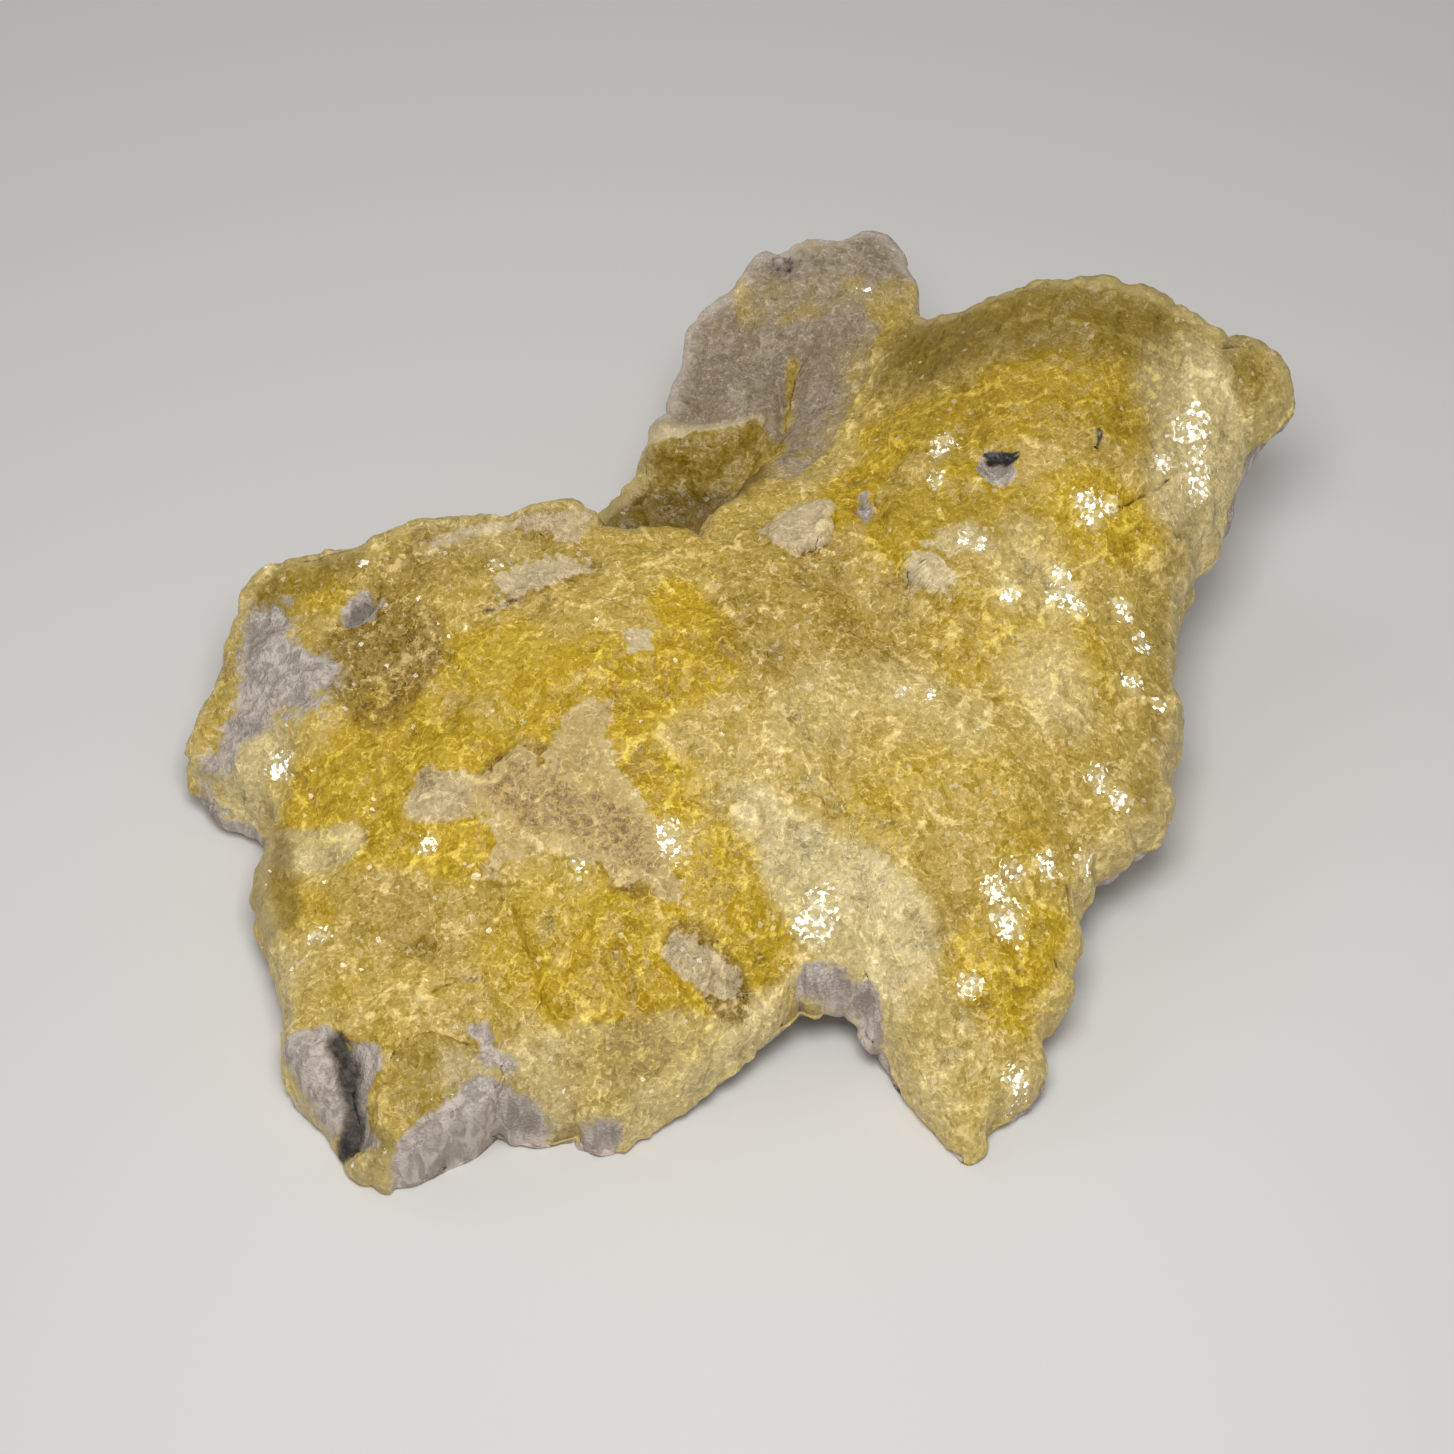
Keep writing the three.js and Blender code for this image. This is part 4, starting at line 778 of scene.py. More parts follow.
def plate_field(points, pitch, seed, edge):
    """Flat, leaning discs, one in each cell: the highest of step(radius - d) * (height + lean * slant).

    The second result is 1 on the raised part of the highest disc's rim, and 0 elsewhere.
    """
    at = points / pitch
    highest, rim = np.zeros(len(points)), np.zeros(len(points))
    for step in NEIGHBOURS:
        cell = np.floor(at) + step
        spare = [cell_number(cell, seed + k) for k in range(7)]
        away = at - cell - np.column_stack(spare[:3])
        distance = np.sqrt((away ** 2).sum(1))
        radius = between(*PLATE_RADII, spare[3])
        slant = away[:, 0] * (spare[4] - 0.5) + away[:, 1] * (spare[5] - 0.5)
        height = between(*PLATE_HEIGHTS, spare[6]) + LEAN * slant
        height = smooth_step(radius, radius - edge, distance) * height
        # the rim counts on the disc's raised side only, where it catches the light; the finish paints it pale
        # there as a highlight
        on_rim = bell((distance - radius + edge) / RIM_BREADTH) * smooth_step(-0.04, 0.12, slant)
        rim = np.where(height > highest, on_rim, rim)
        highest = np.maximum(highest, height)
    return highest, rim


def outward(points):
    """The normal at each point: the sum of its triangles' own normals, which are twice their area long."""
    corners = points[faces]
    normals = np.cross(corners[:, 1] - corners[:, 0], corners[:, 2] - corners[:, 0])
    total = np.stack([
        np.bincount(faces.ravel(), np.repeat(normals[:, axis], 3), len(points)) for axis in range(3)
    ], axis=1)
    return unit(total)


print("mean normal", np.round(outward(base_points).mean(0), 2))

# %% [markdown]
# ## Main lumps and rubble
# The larger lumps of the crust are a few millimetres across and well under a millimetre high. On the broken
# sides and below they turn into rubble. All of it is pushed out along the surface's own normals. What touches
# the ground stays flat on it.

# %% Main lumps and rubble
LUMPS = [(3.4, 0.45, 1), (7, 0.6, 21)]  # pitch, height and seed of each layer
RUBBLE = (4.6, 1.5, 41)

on_ground = base_points[:, 2] == 0
push = sum(height * lump_field(base_points, pitch, seed) for pitch, height, seed in LUMPS)
pitch, height, seed = RUBBLE
push = push + side_share * height * lump_field(base_points, pitch, seed)
push[on_ground] = 0
form_points = base_points + outward(base_points) * push[:, None]
form_points[:, 2] = np.maximum(form_points[:, 2], 0)
print("pushed by", round(float(push.min()), 2), "to", round(float(push.max()), 2), "mm")

# %% [markdown]
# ## What each place is made of
# The crust is lemon gold in some places, pale and milky in others, and dull olive low at the back, where the
# olive is also painted shade on the slab behind the crest and the back of the dome. Dust and fine dark specks
# have settled in the hollows, near black is painted into pits, cracks and crevices as shade, and here and
# there the grey-white rock shows. These places could be painted by hand on an image, but then the image
# would have to be wrapped round the lumps. Strokes and patches in plan need no wrapping. Each stroke has a
# half width, a soft border, a strength and its line. The last strokes are the edges of single plates, which
# are all equally thin.

# %% Strokes of gold, pale, dust, olive (partly painted shade), painted shade, and edges of plates
GOLD = {
    "left slope": (1.6, 2, 1, [(-22.8, -6.2), (-20.6, -5.8), (-17.7, -7), (-15.1, -9), (-13.7, -11.3)]),
    "above the left slope": (1.2, 2, 0.8, [(-14.9, -3.4), (-12.5, -3), (-10.5, -5.8)]),
    "under the left arm": (1, 1.5, 0.9, [(-13.4, -12.6), (-14, -14.3), (-16.7, -13), (-18.9, -12.3)]),
    "middle of the lobe": (1.5, 2, 1, [(-10.9, -5.8), (-8.1, -4.9), (-5.3, -5.7), (-3.2, -4.3)]),
    "lobe by the furrow": (1, 1.2, 1, [(-3.5, -0.3), (-2.4, -1.8), (-1.7, -4)]),
    "right of the thin crust": (1.1, 1.6, 0.9, [(-7, -6.8), (-6.6, -9.5), (-5, -11.8), (-3.5, -11.8)]),
    "below the thin crust": (0.8, 1.2, 0.8, [(-7.5, -15.8), (-5.9, -17.4)]),
    "beside the notch": (1.4, 1.6, 1, [(-0.7, -15.5), (0.8, -16.8), (0.2, -18.8)]),
    "upper step": (2, 2.5, 0.6, [(-10.7, -19.3), (-7.8, -19.6), (-5.2, -20.5), (-4.2, -17.9)]),
    "foot of the step": (1.8, 1.4, 1, [(-8.9, -21.5), (-6.8, -22), (-4.9, -22.8)]),
    "end of the step": (0.7, 1, 0.9, [(-3.2, -22.3), (-2.4, -23)]),
    "dome": (1.6, 2, 1, [(15.6, 12.5), (17.9, 12.7), (20.2, 13.2), (22.5, 12.2)]),
    "dome's left slope": (1.3, 2, 0.9, [(8.8, 12.3), (11.1, 11.8), (13.9, 11.7), (16.2, 12)]),
    "plate on the dome": (1.6, 2, 0.8, [(9.7, 4.5), (12.1, 6.2), (14.3, 4.8)]),
    "plate's right end": (1.4, 2, 0.7, [(17, 4.9), (19.4, 5.8), (21.3, 5.5)]),
    "strip beside the dome": (1.1, 1.5, 1, [(5.9, 7), (7.2, 9.5), (8.9, 11.6)]),
    "foot of the strip": (0.9, 1, 0.9, [(8.5, 4.4), (10, 3.1)]),
    "upper flank": (1.8, 2.5, 0.6, [(12.9, -2.1), (15.1, -3.3), (17.3, -2.8)]),
    "spike": (1.8, 1.6, 0.8, [(13.5, -19.8), (15.1, -20.3), (16.2, -19.1)]),
    "left edge": (1, 1.5, 0.8, [(-25.4, -15.1), (-23.7, -16.1)]),
    "back of the left end": (0.6, 1, 0.7, [(-25, 4.2), (-23.3, 2.8)]),
    "back of the dome": (1.2, 2, 0.5, [(10.8, 18.2), (14.7, 17.6), (19.2, 17.7), (23.8, 16.3)]),
    "low left flat": (1.5, 2, 0.7, [(-23.3, -9.6), (-20.1, -11.5), (-17.5, -11.2)]),
    "notch in the thin crust": (0.8, 1.2, 0.8, [(-10.1, -9.3), (-9.1, -7.8)]),
    "lower flank": (1.6, 3, 0.35, [(14.2, -11.8), (11.5, -10.9), (8.2, -13.9)]),
    "tip of the spike": (1.2, 1.5, 0.5, [(9.7, -25.4), (11.8, -26.7)]),
}
PALE = {
    "down the flank": (1, 2.8, 0.55, [(15.9, 2.8), (16.3, 0.3), (16.5, -2.2), (17.3, -5.4)]),
    "above the notch": (1.5, 2.6, 1.1, [(4, -15.8), (6, -17.3), (7.7, -19.1)]),
    "left edge of the spike": (1.2, 2, 0.3, [(8, -19.8), (10.1, -22.2), (10.9, -23.4)]),
    "left tip": (1, 1.2, 0.9, [(-28.3, -4.1), (-26.9, -5.1), (-28, -5.6)]),
    "right edge": (1, 2.4, 0.25, [(22.5, -4.2), (22.3, -7.5), (21, -10.7)]),
    "dome's right edge": (0.9, 4.2, 1.25, [(25.6, 13.7), (26.9, 12.2), (26.1, 8.9)]),
    "end knob": (0.6, 1, 0.1, [(30.6, 16.3), (30.8, 14.7)]),
    "right of the stub": (1, 2, 0.3, [(3.6, 18.8), (6.3, 19.7), (8.4, 17.6), (7.3, 13.8), (4, 10.2)]),
    "near the middle": (1.4, 2.8, 0.3, [(-2.6, -9.2), (-0.4, -10.2), (2, -11.2)]),
    "under the furrow": (1.4, 2.5, 0.4, [(2.9, -7.8), (7.3, -5.4), (10.8, -7.4)]),
    "below the step": (0.8, 1, 0.7, [(-9.9, -24.8), (-5.7, -24.8), (-1.5, -23.3), (1.3, -21.8)]),
    "tip of the spike": (1.2, 1.5, 0.3, [(9.4, -23.8), (12.4, -25), (14.1, -23.9)]),
    "low left flat": (1, 2, 0.4, [(-24.5, -18.3), (-22.3, -20.9), (-18.5, -22.1)]),
    "beside the notch": (1, 1.5, 0.7, [(1.2, -13), (2.8, -14.4), (4.5, -15.4)]),
    "lobe's back edge": (0.6, 1, 0.5, [(-17.9, 4.4), (-15.1, 4.6), (-12.7, 4.3)]),
    "plate's edge": (0.5, 0.6, 0.7, [(11.5, 3.5), (12.8, 3.9), (13.7, 3.2)]),
    "beside the left end": (1, 2, 0.4, [(-23.3, -1), (-23, -3.4), (-24.2, -5)]),
    "front edge": (0.8, 1, 0.5, [(-7.8, -26.5), (-5.2, -25.3)]),
    "arm of the thin crust": (0.6, 1, 0.9, [(-17.3, -10.9), (-15.8, -11)]),
    "above the front wall": (0.6, 1.3, 0.8, [(-15, -25.6), (-12.5, -25.3), (-10, -25.8)]),
    "furrow": (0.8, 1.6, 0.5, [(4.1, -4.9), (4.8, -8.6), (4.6, -11.9)]),
    "left edge": (0.7, 1, 1, [(-25.2, -11.5), (-22.9, -12.3), (-21.6, -12.3)]),
}
DUST = {
    "behind the lobe": (1, 2.4, 0.62, [(-19.5, 3), (-15, 3.6), (-11.5, 4.4)]),
    "brown patch": (1.8, 1.5, 1.2, [(-21.6, -1.5), (-19.9, -3.3), (-19.4, -0.9)]),
    "upper middle": (2, 2.5, 0.5, [(2, 3), (4.7, 0.2), (7.7, -0.4), (3.2, -2.8), (1, -1.8)]),
    "furrow": (1, 1.4, 0.1, [(4.1, -4.9), (4.8, -8.6), (4.6, -11.9), (4, -14.8)]),
    "thin crust, left": (1.2, 1, 1, [(-12.6, -10.4), (-11.3, -10.2), (-10.6, -11.8)]),
    "thin crust, right": (1, 1.2, 0.8, [(-10.1, -12.2), (-6.8, -14.3), (-5.6, -16.3)]),
    "by the plate": (0.9, 1, 0.45, [(10.2, -1.8), (11.9, -2), (11.3, -0.8)]),
    "rough patch": (0.9, 0.8, 1, [(-3.1, -19.5), (-1.7, -20.3), (-0.9, -21.1)]),
    "lobe's back edge": (0.5, 0.5, 0.8, [(-17.9, 5.4), (-14, 6), (-10.6, 5.7)]),
    "low left flat": (1.3, 1.8, 0.4, [(-18.7, -16.2), (-16.2, -18.1), (-14.3, -17.2)]),
    "below the step": (1, 1.4, 0.45, [(-10.9, -25.8), (-7.8, -25.8), (-5.4, -24.6)]),
    "speckled band": (0.8, 0.8, 0.7, [(-13.2, 1.1), (-10.5, 2.3), (-8.5, 3)]),
    "spike's root": (1.2, 2.5, 0.2, [(11.4, -15.2), (13.5, -17), (11.4, -18.2)]),
    "foot of the strip": (1.2, 1.5, 0.45, [(7, 5.5), (6.1, 2.8), (7.5, 1.2)]),
}
# Partly the crust's own dull olive and partly painted shade: darker on the slab behind the crest, the back
# and crown of the dome, its end knob and the stub's ledge
OLIVE_AND_SHADE = {
    "slab behind the crest": (2.4, 1.2, 1, [(-7.4, 9), (-6.6, 12), (-3.4, 12), (-1.2, 11.6)]),
    "left edge": (0.7, 0.8, 0.7, [(-25.8, -11), (-25.6, -13.4), (-25, -15.6)]),
    "back of the left end": (0.8, 1.2, 0.6, [(-27, 3.4), (-25, 4.6), (-22.5, 4.8)]),
    "back of the dome": (2, 4, 0.8, [(12, 18.4), (16, 18.2), (22, 17.8)]),
    "ledge of the stub": (1, 0.8, 0.55, [(-5, 15.2), (-1, 15.4), (2.7, 17)]),
    "groove of the stub": (0.4, 0.6, 0.5, [(3.1, 21.2), (2.8, 18)]),
    "far end of the stub": (0.8, 1, 0.35, [(8.8, 24.2), (10, 25)]),
    "crown of the dome": (1.5, 3, 0.3, [(12, 12), (18, 12.6), (23, 12)]),
    "plate on the dome": (1.5, 2.5, 0.25, [(10, 5), (14, 5.5)]),
    "corner plate": (1.5, 1, 0.35, [(-17, -26), (-15, -25.6)]),
    "corner tip": (1, 0.8, 0.45, [(-20.4, -29), (-19, -29.8)]),
    "end knob": (1, 1.6, 0.5, [(29.2, 16.4), (30.8, 15.4)]),
    "right edge": (0.7, 1.6, 0.4, [(26.4, 7), (24.4, 1.6), (23.8, -3), (22.8, -9)]),
    "strip beside the dome": (1, 1.6, 0.4, [(9.4, 17.4), (9.8, 20.4)]),
}
# Painted shade: near black painted into the pits, grooves, cracks and the corner crevice, where shade falls
PAINTED_SHADE = {
    "groove": (0.24, 0.3, 0.6, [(-22.2, 1.2), (-21.6, 1.7), (-20.9, 2)]),
    "pit on the dome": (0.24, 0.2, 1, [(14, 8.9), (14.8, 9), (15.5, 8.7)]),
    "pit in the furrow": (0.18, 0.25, 0.5, [(6.8, 7.6), (7, 6.6)]),
    "small pit": (0.12, 0.15, 0.8, [(20.2, 10.2), (20.2, 9.7)]),
    "crack on the dome": (0.12, 0.22, 0.9, [(21.5, 6.7), (22.4, 7.3), (23.4, 8), (24.3, 9)]),
    "crevice in the corner": (0.32, 0.9, 0.8, [
        (-21.5, -23.6), (-20.9, -24.8), (-20.5, -26.6), (-20.8, -27.5),
    ]),
    "foot of the crevice": (0.2, 0.6, 0.5, [(-19.7, -27.8), (-20.3, -27.8)]),
    "hollow of the stub": (0.3, 0.5, 0.5, [(2.3, 27.8), (3.3, 27.5)]),
    "dot on the stub": (0.12, 0.2, 0.6, [(1.9, 25.3), (2.1, 25.2)]),
    "crack on the lobe": (0.05, 0.15, 0.65, [(-14.4, 0.1), (-13.7, 0.3), (-12.6, 0.7)]),
    "crack on the flat": (0.06, 0.18, 0.6, [(-16, -21.4), (-15.1, -20.9), (-13.9, -20.7)]),
}
THIN = (0.1, 0.3)  # half width and border
PLATE_EDGES = {
    "dome's crown": (*THIN, 0.9, [(8.4, 11.2), (10.2, 13), (12.6, 13.5), (14.8, 13.2), (17.1, 13.4)]),
    "dome's back": (*THIN, 0.9, [(14, 17.1), (16.7, 17.3), (20.4, 15.9), (23.1, 15.4), (27.4, 14.6)]),
    "end knob": (*THIN, 0.9, [(28.2, 16), (27.7, 14.6), (28.6, 13.9), (29.5, 13.6)]),
    "right disc": (*THIN, 1, [(21.5, 6.1), (22.1, 4.7), (23.4, 4.2), (25.6, 6), (26.9, 7.9)]),
    "below the right disc": (*THIN, 0.9, [(22.9, 4), (23.5, 3.2), (25.3, 4.3)]),
    "disc on the right edge": (*THIN, 1, [
        (20.8, -6), (20.7, -5.2), (21.1, -4.5), (22.4, -3.9), (23.9, -3.8),
    ]),
    "below the plate": (*THIN, 1, [(10.5, -0.5), (11.3, -0.4), (11.7, -1.1), (11.4, -2), (10.7, -2.1)]),
    "under the clusters": (*THIN, 1, [(14.1, -2.4), (14.1, -1.8), (14.5, -1.2)]),
    "beside the clusters": (*THIN, 1, [(16.6, -1), (16.8, -0.2), (17.3, 0.4)]),
    "middle of the flank": (*THIN, 1, [
        (12.2, -6.3), (12.4, -5.4), (13, -5), (13.5, -5.6), (13.4, -7), (12.8, -7.5),
    ]),
    "lobe by the furrow": (*THIN, 1, [(-6.3, -9.9), (-5.8, -8.8), (-4.5, -8.6), (-3.8, -9.6), (-3.9, -10.5)]),
    "low flat": (*THIN, 1, [(-19.7, -22.4), (-19.5, -21.8), (-18.2, -21.1), (-16.8, -21.7), (-16.2, -22.8)]),
    "over the wall": (*THIN, 1, [(-18.7, -28), (-18.6, -25.4), (-18.3, -24.3), (-16, -23.6), (-14, -24.5)]),
}
print(sum(len(strokes) for strokes in (GOLD, PALE, DUST, OLIVE_AND_SHADE, PAINTED_SHADE, PLATE_EDGES)), "strokes")

# %% [markdown]
# ## Patches
# A patch is a loop in plan with the half width of its border. Some are bare, chalky rock, some are buff stone
# and some a cream skin. The thin crust of buff grains on the left lobe has its ledge's own loop. The border
# of a patch is kept as a ramp of distance, and the finish breaks it up with fine grain, so it looks broken
# off. Where the crust still runs over the stone, a stroke takes the stone away again.

# %% Patches of rock, stone and cream
CHALK_PATCHES = {
    "left end": (1.8, [
        (-29, -1.5), (-28.4, 1.7), (-27.7, 3), (-26, 2.8), (-25.1, 0.3), (-23.1, -1.1), (-22.3, -2.5),
        (-23.9, -4.2), (-26.1, -3.8), (-28.1, -4.3), (-29.2, -5.2), (-30.5, -4.7), (-30.2, -3.5),
    ]),
    "corner rock": (0.5, [
        (-24, -22.6), (-22.2, -22.7), (-21, -23.3), (-19.2, -23.8), (-18.8, -24.8), (-19.6, -25.8),
        (-19.6, -27.1), (-18.8, -28.8), (-20.6, -27.8), (-22.2, -26.8), (-23.8, -24.8),
    ]),
    "front wall": (0.5, [
        (-18.6, -29.2), (-17.5, -28.4), (-16.3, -27.7), (-15.3, -26.9), (-13.9, -26), (-12.8, -26.2),
        (-11.3, -26.6), (-8.8, -26.9), (-6.8, -27), (-6.5, -28.5), (-10, -28.5), (-13, -29),
        (-16, -30.5), (-18.5, -30.5),
    ]),
    "blob on the front": (0.6, [
        (-14.8, -23.3), (-13.5, -23.2), (-13.1, -24.3), (-11.7, -25.3), (-12, -25.6), (-13.7, -25.3),
        (-14, -24.1),
    ]),
    "notch": (0.5, [
        (2.5, -20.3), (3.6, -19.6), (5.5, -19.8), (7, -20.8), (7.9, -22.3), (7.2, -22), (6.1, -20.8),
        (5, -20.3), (3.7, -20.3), (2.9, -20.3),
    ]),
    "round the pit": (0.5, [(13.3, 7.9), (13.6, 8.7), (15.2, 8.6), (15.6, 7.8), (15, 7), (14, 7)]),
    "lilac pit": (0.4, [(6.5, 7.6), (7.2, 8.1), (7.6, 6.6), (7.2, 5.3), (6.6, 6.1)]),
    "round the groove": (0.5, [
        (-23, 1.1), (-22.3, 2.2), (-21.2, 2.7), (-20.2, 1.6), (-20.8, 0.9), (-21.9, 0.5),
    ]),
}
STONE_PATCHES = {
    "stub and the ridge beside the dome": (0.6, [
        (-7, 16.7), (-7, 22), (-4, 28), (0, 32), (8, 33), (12, 29), (11, 26), (9.5, 23.8), (8.6, 21.8),
        (8, 19.6), (7, 17), (5.8, 14.4), (4.4, 11.6), (3, 9.4), (1, 10.6), (2.4, 13.4), (2.6, 15.6),
        (1.2, 17.1), (-2.7, 16.6),
    ]),
}
YELLOW_ON_STONE = {
    "groove": (0.15, 0.5, 0.8, [(3.1, 21.2), (2.8, 18), (2.6, 17.2)]),
    "across the top": (0.8, 1.8, 0.3, [(0.8, 25.4), (3.6, 25), (6.6, 25.2)]),
    "ridge beside the dome": (0.9, 2.2, 0.32, [(8.6, 21.4), (6.8, 17), (5.2, 13.8), (3.6, 10.6)]),
    "far end": (0.8, 1.4, 0.5, [(8.8, 24.2), (10, 25)]),
    "back edge": (0.3, 0.6, 0.4, [(3.6, 28.8), (5.2, 28.6)]),
}
CREAM_PATCHES = {
    "chip": (0.3, [
        (0.9, 5.4), (1.9, 6.7), (3.1, 7.9), (4.9, 7.3), (4.7, 4.7), (4.3, 3.8), (3, 3.4), (2.2, 4.2),
    ]),
    "rough patch": (0.6, [
        (-4.2, -19.3), (-3.7, -18.3), (-2.5, -19.3), (-1.2, -19.8), (-0.1, -20.6), (-0.7, -21.5),
        (-1.7, -21.3), (-3.1, -21), (-4, -20.6),
    ]),
    "square scar": (0.4, [(-6.7, -2.2), (-5.1, -2.1), (-4.9, -3.4), (-6.3, -3.8)]),
    "speckled band": (0.9, [
        (-14, 2.5), (-12.8, 3.3), (-10.5, 3.6), (-8.3, 3.5), (-8, 2.3), (-10.4, 1.5), (-12.7, 0.7),
        (-13.7, 1.2),
    ]),
    "lobe's knob": (0.5, [
        (-10.6, 5.8), (-9.7, 6.5), (-8.8, 7.1), (-8.7, 5.7), (-9.4, 4.2), (-10.4, 4.4),
    ]),
    "plate's edge": (1.1, [
        (9.5, 2.7), (10.3, 2.9), (11.3, 2.2), (12.1, 1.4), (11.6, 0.4), (10.7, 0.2), (9.9, 1.2),
    ]),
    "lobe's back edge": (0.6, [
        (-17.9, 4.9), (-15.7, 5.9), (-11.7, 6.2), (-10.6, 6.1), (-10.8, 5.4), (-14, 5.2), (-17.3, 4.4),
    ]),
    "stub's ledge": (0.25, [
        (-6.3, 16.3), (-5.6, 17.2), (-4.4, 17.3), (1.8, 17.8), (1.2, 17.1), (-2.1, 16.5), (-5.1, 16),
    ]),
}
print(len(CHALK_PATCHES) + len(STONE_PATCHES) + len(CREAM_PATCHES), "patches")

# %% [markdown]
# ## Clusters of bright flakes
# Small flakes lie in clusters, most of them on the flank, the dome and the spike. In each cluster they lean
# nearly the same way, so they catch the light together. Each cluster has a place in plan and a radius.

# %% Clusters of bright flakes
GLINTS = {
    "dome": [
        (25.8, 12.7, 0.5), (25.7, 11.7, 0.85), (25.8, 10.2, 0.55), (26, 9.2, 0.6), (11.7, 10.2, 0.5),
        (11.2, 9.4, 0.4), (7.4, 25.2, 0.5), (24, 9.8, 0.4),
    ],
    "dome's near side": [
        (19.3, 6.2, 0.6), (19.6, 5.3, 0.6), (20.5, 6.2, 0.5), (17.8, 2, 0.45), (11, 7.5, 0.4),
        (12.5, 3.6, 0.35), (13.3, 3.4, 0.3),
    ],
    "flank": [
        (17.9, 0.9, 0.7), (18.5, 0.1, 0.4), (14.8, 0.7, 0.45), (21.3, 0.8, 0.5), (22.4, -0.7, 0.5),
        (21.5, -3.4, 0.5), (19.5, -9.1, 0.6), (20.5, -9.8, 0.5), (23.1, -3.9, 0.3), (8.7, -5.4, 0.3),
        (10.3, -5.7, 0.35),
    ],
    "spike": [
        (18.6, -13.3, 0.5), (16.3, -14.3, 0.5), (14.4, -15.1, 0.5), (14.2, -17.6, 0.8),
        (13.5, -16.2, 0.5), (12.1, -20.8, 0.5), (14.6, -24.8, 0.6),
    ],
    "left lobe": [
        (-4.1, -13.9, 0.55), (-3.9, -14.7, 0.75), (-4.3, -15.3, 0.3), (-25.6, -6.3, 0.6),
        (-22.9, -17.3, 0.45), (-17, -13.3, 0.45), (-13.7, 3, 0.35), (-21.3, 4.2, 0.3),
        (-8.7, -15.7, 0.35),
    ],
    "above the notch": [
        (4, -17, 0.6), (3.2, -18, 0.5), (3.9, -18.3, 0.45), (4.6, -17.9, 0.5),
    ],
}
print(sum(len(spots) for spots in GLINTS.values()), "clusters")

# %% [markdown]
# ## From strokes and patches to masks
# A mask is one number for each point of the mesh, kept as a named attribute that the finish can read. Gold,
# pale, chalk and stone run on down the sides, where more and more chalky rock shows towards the underside.
# The other strokes, patches and clusters are drawn on the top only. Soft clouds and finer curds make the
# borders uneven.

# %% The masks
def stroke_mask(x, y, strokes):
    """The strongest stroke at each point: its full strength within the half width, fading over the border."""
    strongest = np.zeros(len(x))
    for half_width, border, strength, line in strokes.values():
        fade = smooth_step(half_width + border, half_width, line_distance(x, y, line))
        strongest = np.maximum(strongest, strength * fade)
    return strongest


def patch_mask(x, y, patches):
    """A ramp from 0 to 1 across each patch's border, 0.5 on the border itself; the highest one counts."""
    ramps = [0.5 + signed_distance(x, y, loop) / (2 * border) for border, loop in patches.values()]
    return np.clip(np.maximum.reduce(ramps), 0, 1)


def cluster_mask(x, y, clusters):
    """1 at the middle of a cluster, 0.5 at its radius and 0 at twice that."""
    spots = np.array(sum(clusters.values(), []))
    distance = np.hypot(x[:, None] - spots[:, 0], y[:, None] - spots[:, 1])
    return np.clip(1 - 0.5 * (distance / spots[:, 2]).min(1), 0, 1)


CLOUD_PITCH, CURD_PITCH = 5.2, 1.7
RIM_FADE = 0.7  # distance over which the pale rim fades

plan_x, plan_y = base_points[:, 0], base_points[:, 1]
on_top = side_share == 0
rim_distance = np.zeros(len(base_points))
rim_distance[:len(top_points)] = line_distance(*top_xy.T, stations[:, :2], True)
clouds = 0.5 * rough_field(base_points, CLOUD_PITCH, 3, 131)
curds = 0.5 * rough_field(base_points, CURD_PITCH, 2, 141)
side_rock = smooth_step(0.1, 0.7, side_share * (1 + 1.3 * clouds))
# The pale rim: the thin edge's own paler colour, and painted glow of light passing through it
rim = np.where(on_top, bell(rim_distance / RIM_FADE), 1 - smooth_step(0, 0.6, side_share))
masks = {
    "gold": stroke_mask(plan_x, plan_y, GOLD) + 0.5 * clouds + 0.08 * curds,
    "pale": stroke_mask(plan_x, plan_y, PALE) - 0.35 * clouds + 0.22 * curds,
    "dust": stroke_mask(plan_x, plan_y, DUST) * on_top + 0.5 * curds,
    "olive_and_shade": stroke_mask(plan_x, plan_y, OLIVE_AND_SHADE) * on_top,
    "painted_shade": stroke_mask(plan_x, plan_y, PAINTED_SHADE) * on_top,
    "chalk": np.maximum(patch_mask(plan_x, plan_y, CHALK_PATCHES), side_rock),
    "stone": patch_mask(plan_x, plan_y, STONE_PATCHES) - stroke_mask(plan_x, plan_y, YELLOW_ON_STONE),
    "cream": patch_mask(plan_x, plan_y, CREAM_PATCHES) * on_top,
    "thin": patch_mask(plan_x, plan_y, {"thin crust": (1, THIN_CRUST)}) * on_top,
    "glint": cluster_mask(plan_x, plan_y, GLINTS) * on_top,
    "rim": rim,
    "curds": curds,
}
for name, mask in masks.items():
    print(name, "covers", (100 * (mask > 0.5).mean()).round(1), "% of the points")

# %% [markdown]
# ## Fine relief
# Now that each place is known to be crust, stone or rock, it gets its own fine relief: overlapping discs and
# small beads on the crust, a low grain on the stone, and a rough, fibrous grain on the rock. Relief down to
# about half a millimetre is real geometry. Anything finer is left to the bump of the finish.

# %% Fine relief
DISC_HEIGHTS = (0.24, 0.18)  # on most of the crust, and on the flank
BEAD_HEIGHTS = (0.08, 0.24)
UNEVEN_HEIGHT, ROCK_HEIGHT, STONE_HEIGHT, SIDE_LUMP_HEIGHT = 0.07, 0.32, 0.24, 0.25
WARP = 0.8  # how far soft clouds bend the discs out of round
UPRIGHT_STRETCH = (1.0, 1.0, 0.35)  # the grain of the rock is about three times as tall as it is wide
DISC_PITCH, SMALL_DISC_PITCH, BEAD_PITCH = 2.7, 1.3, 1.15

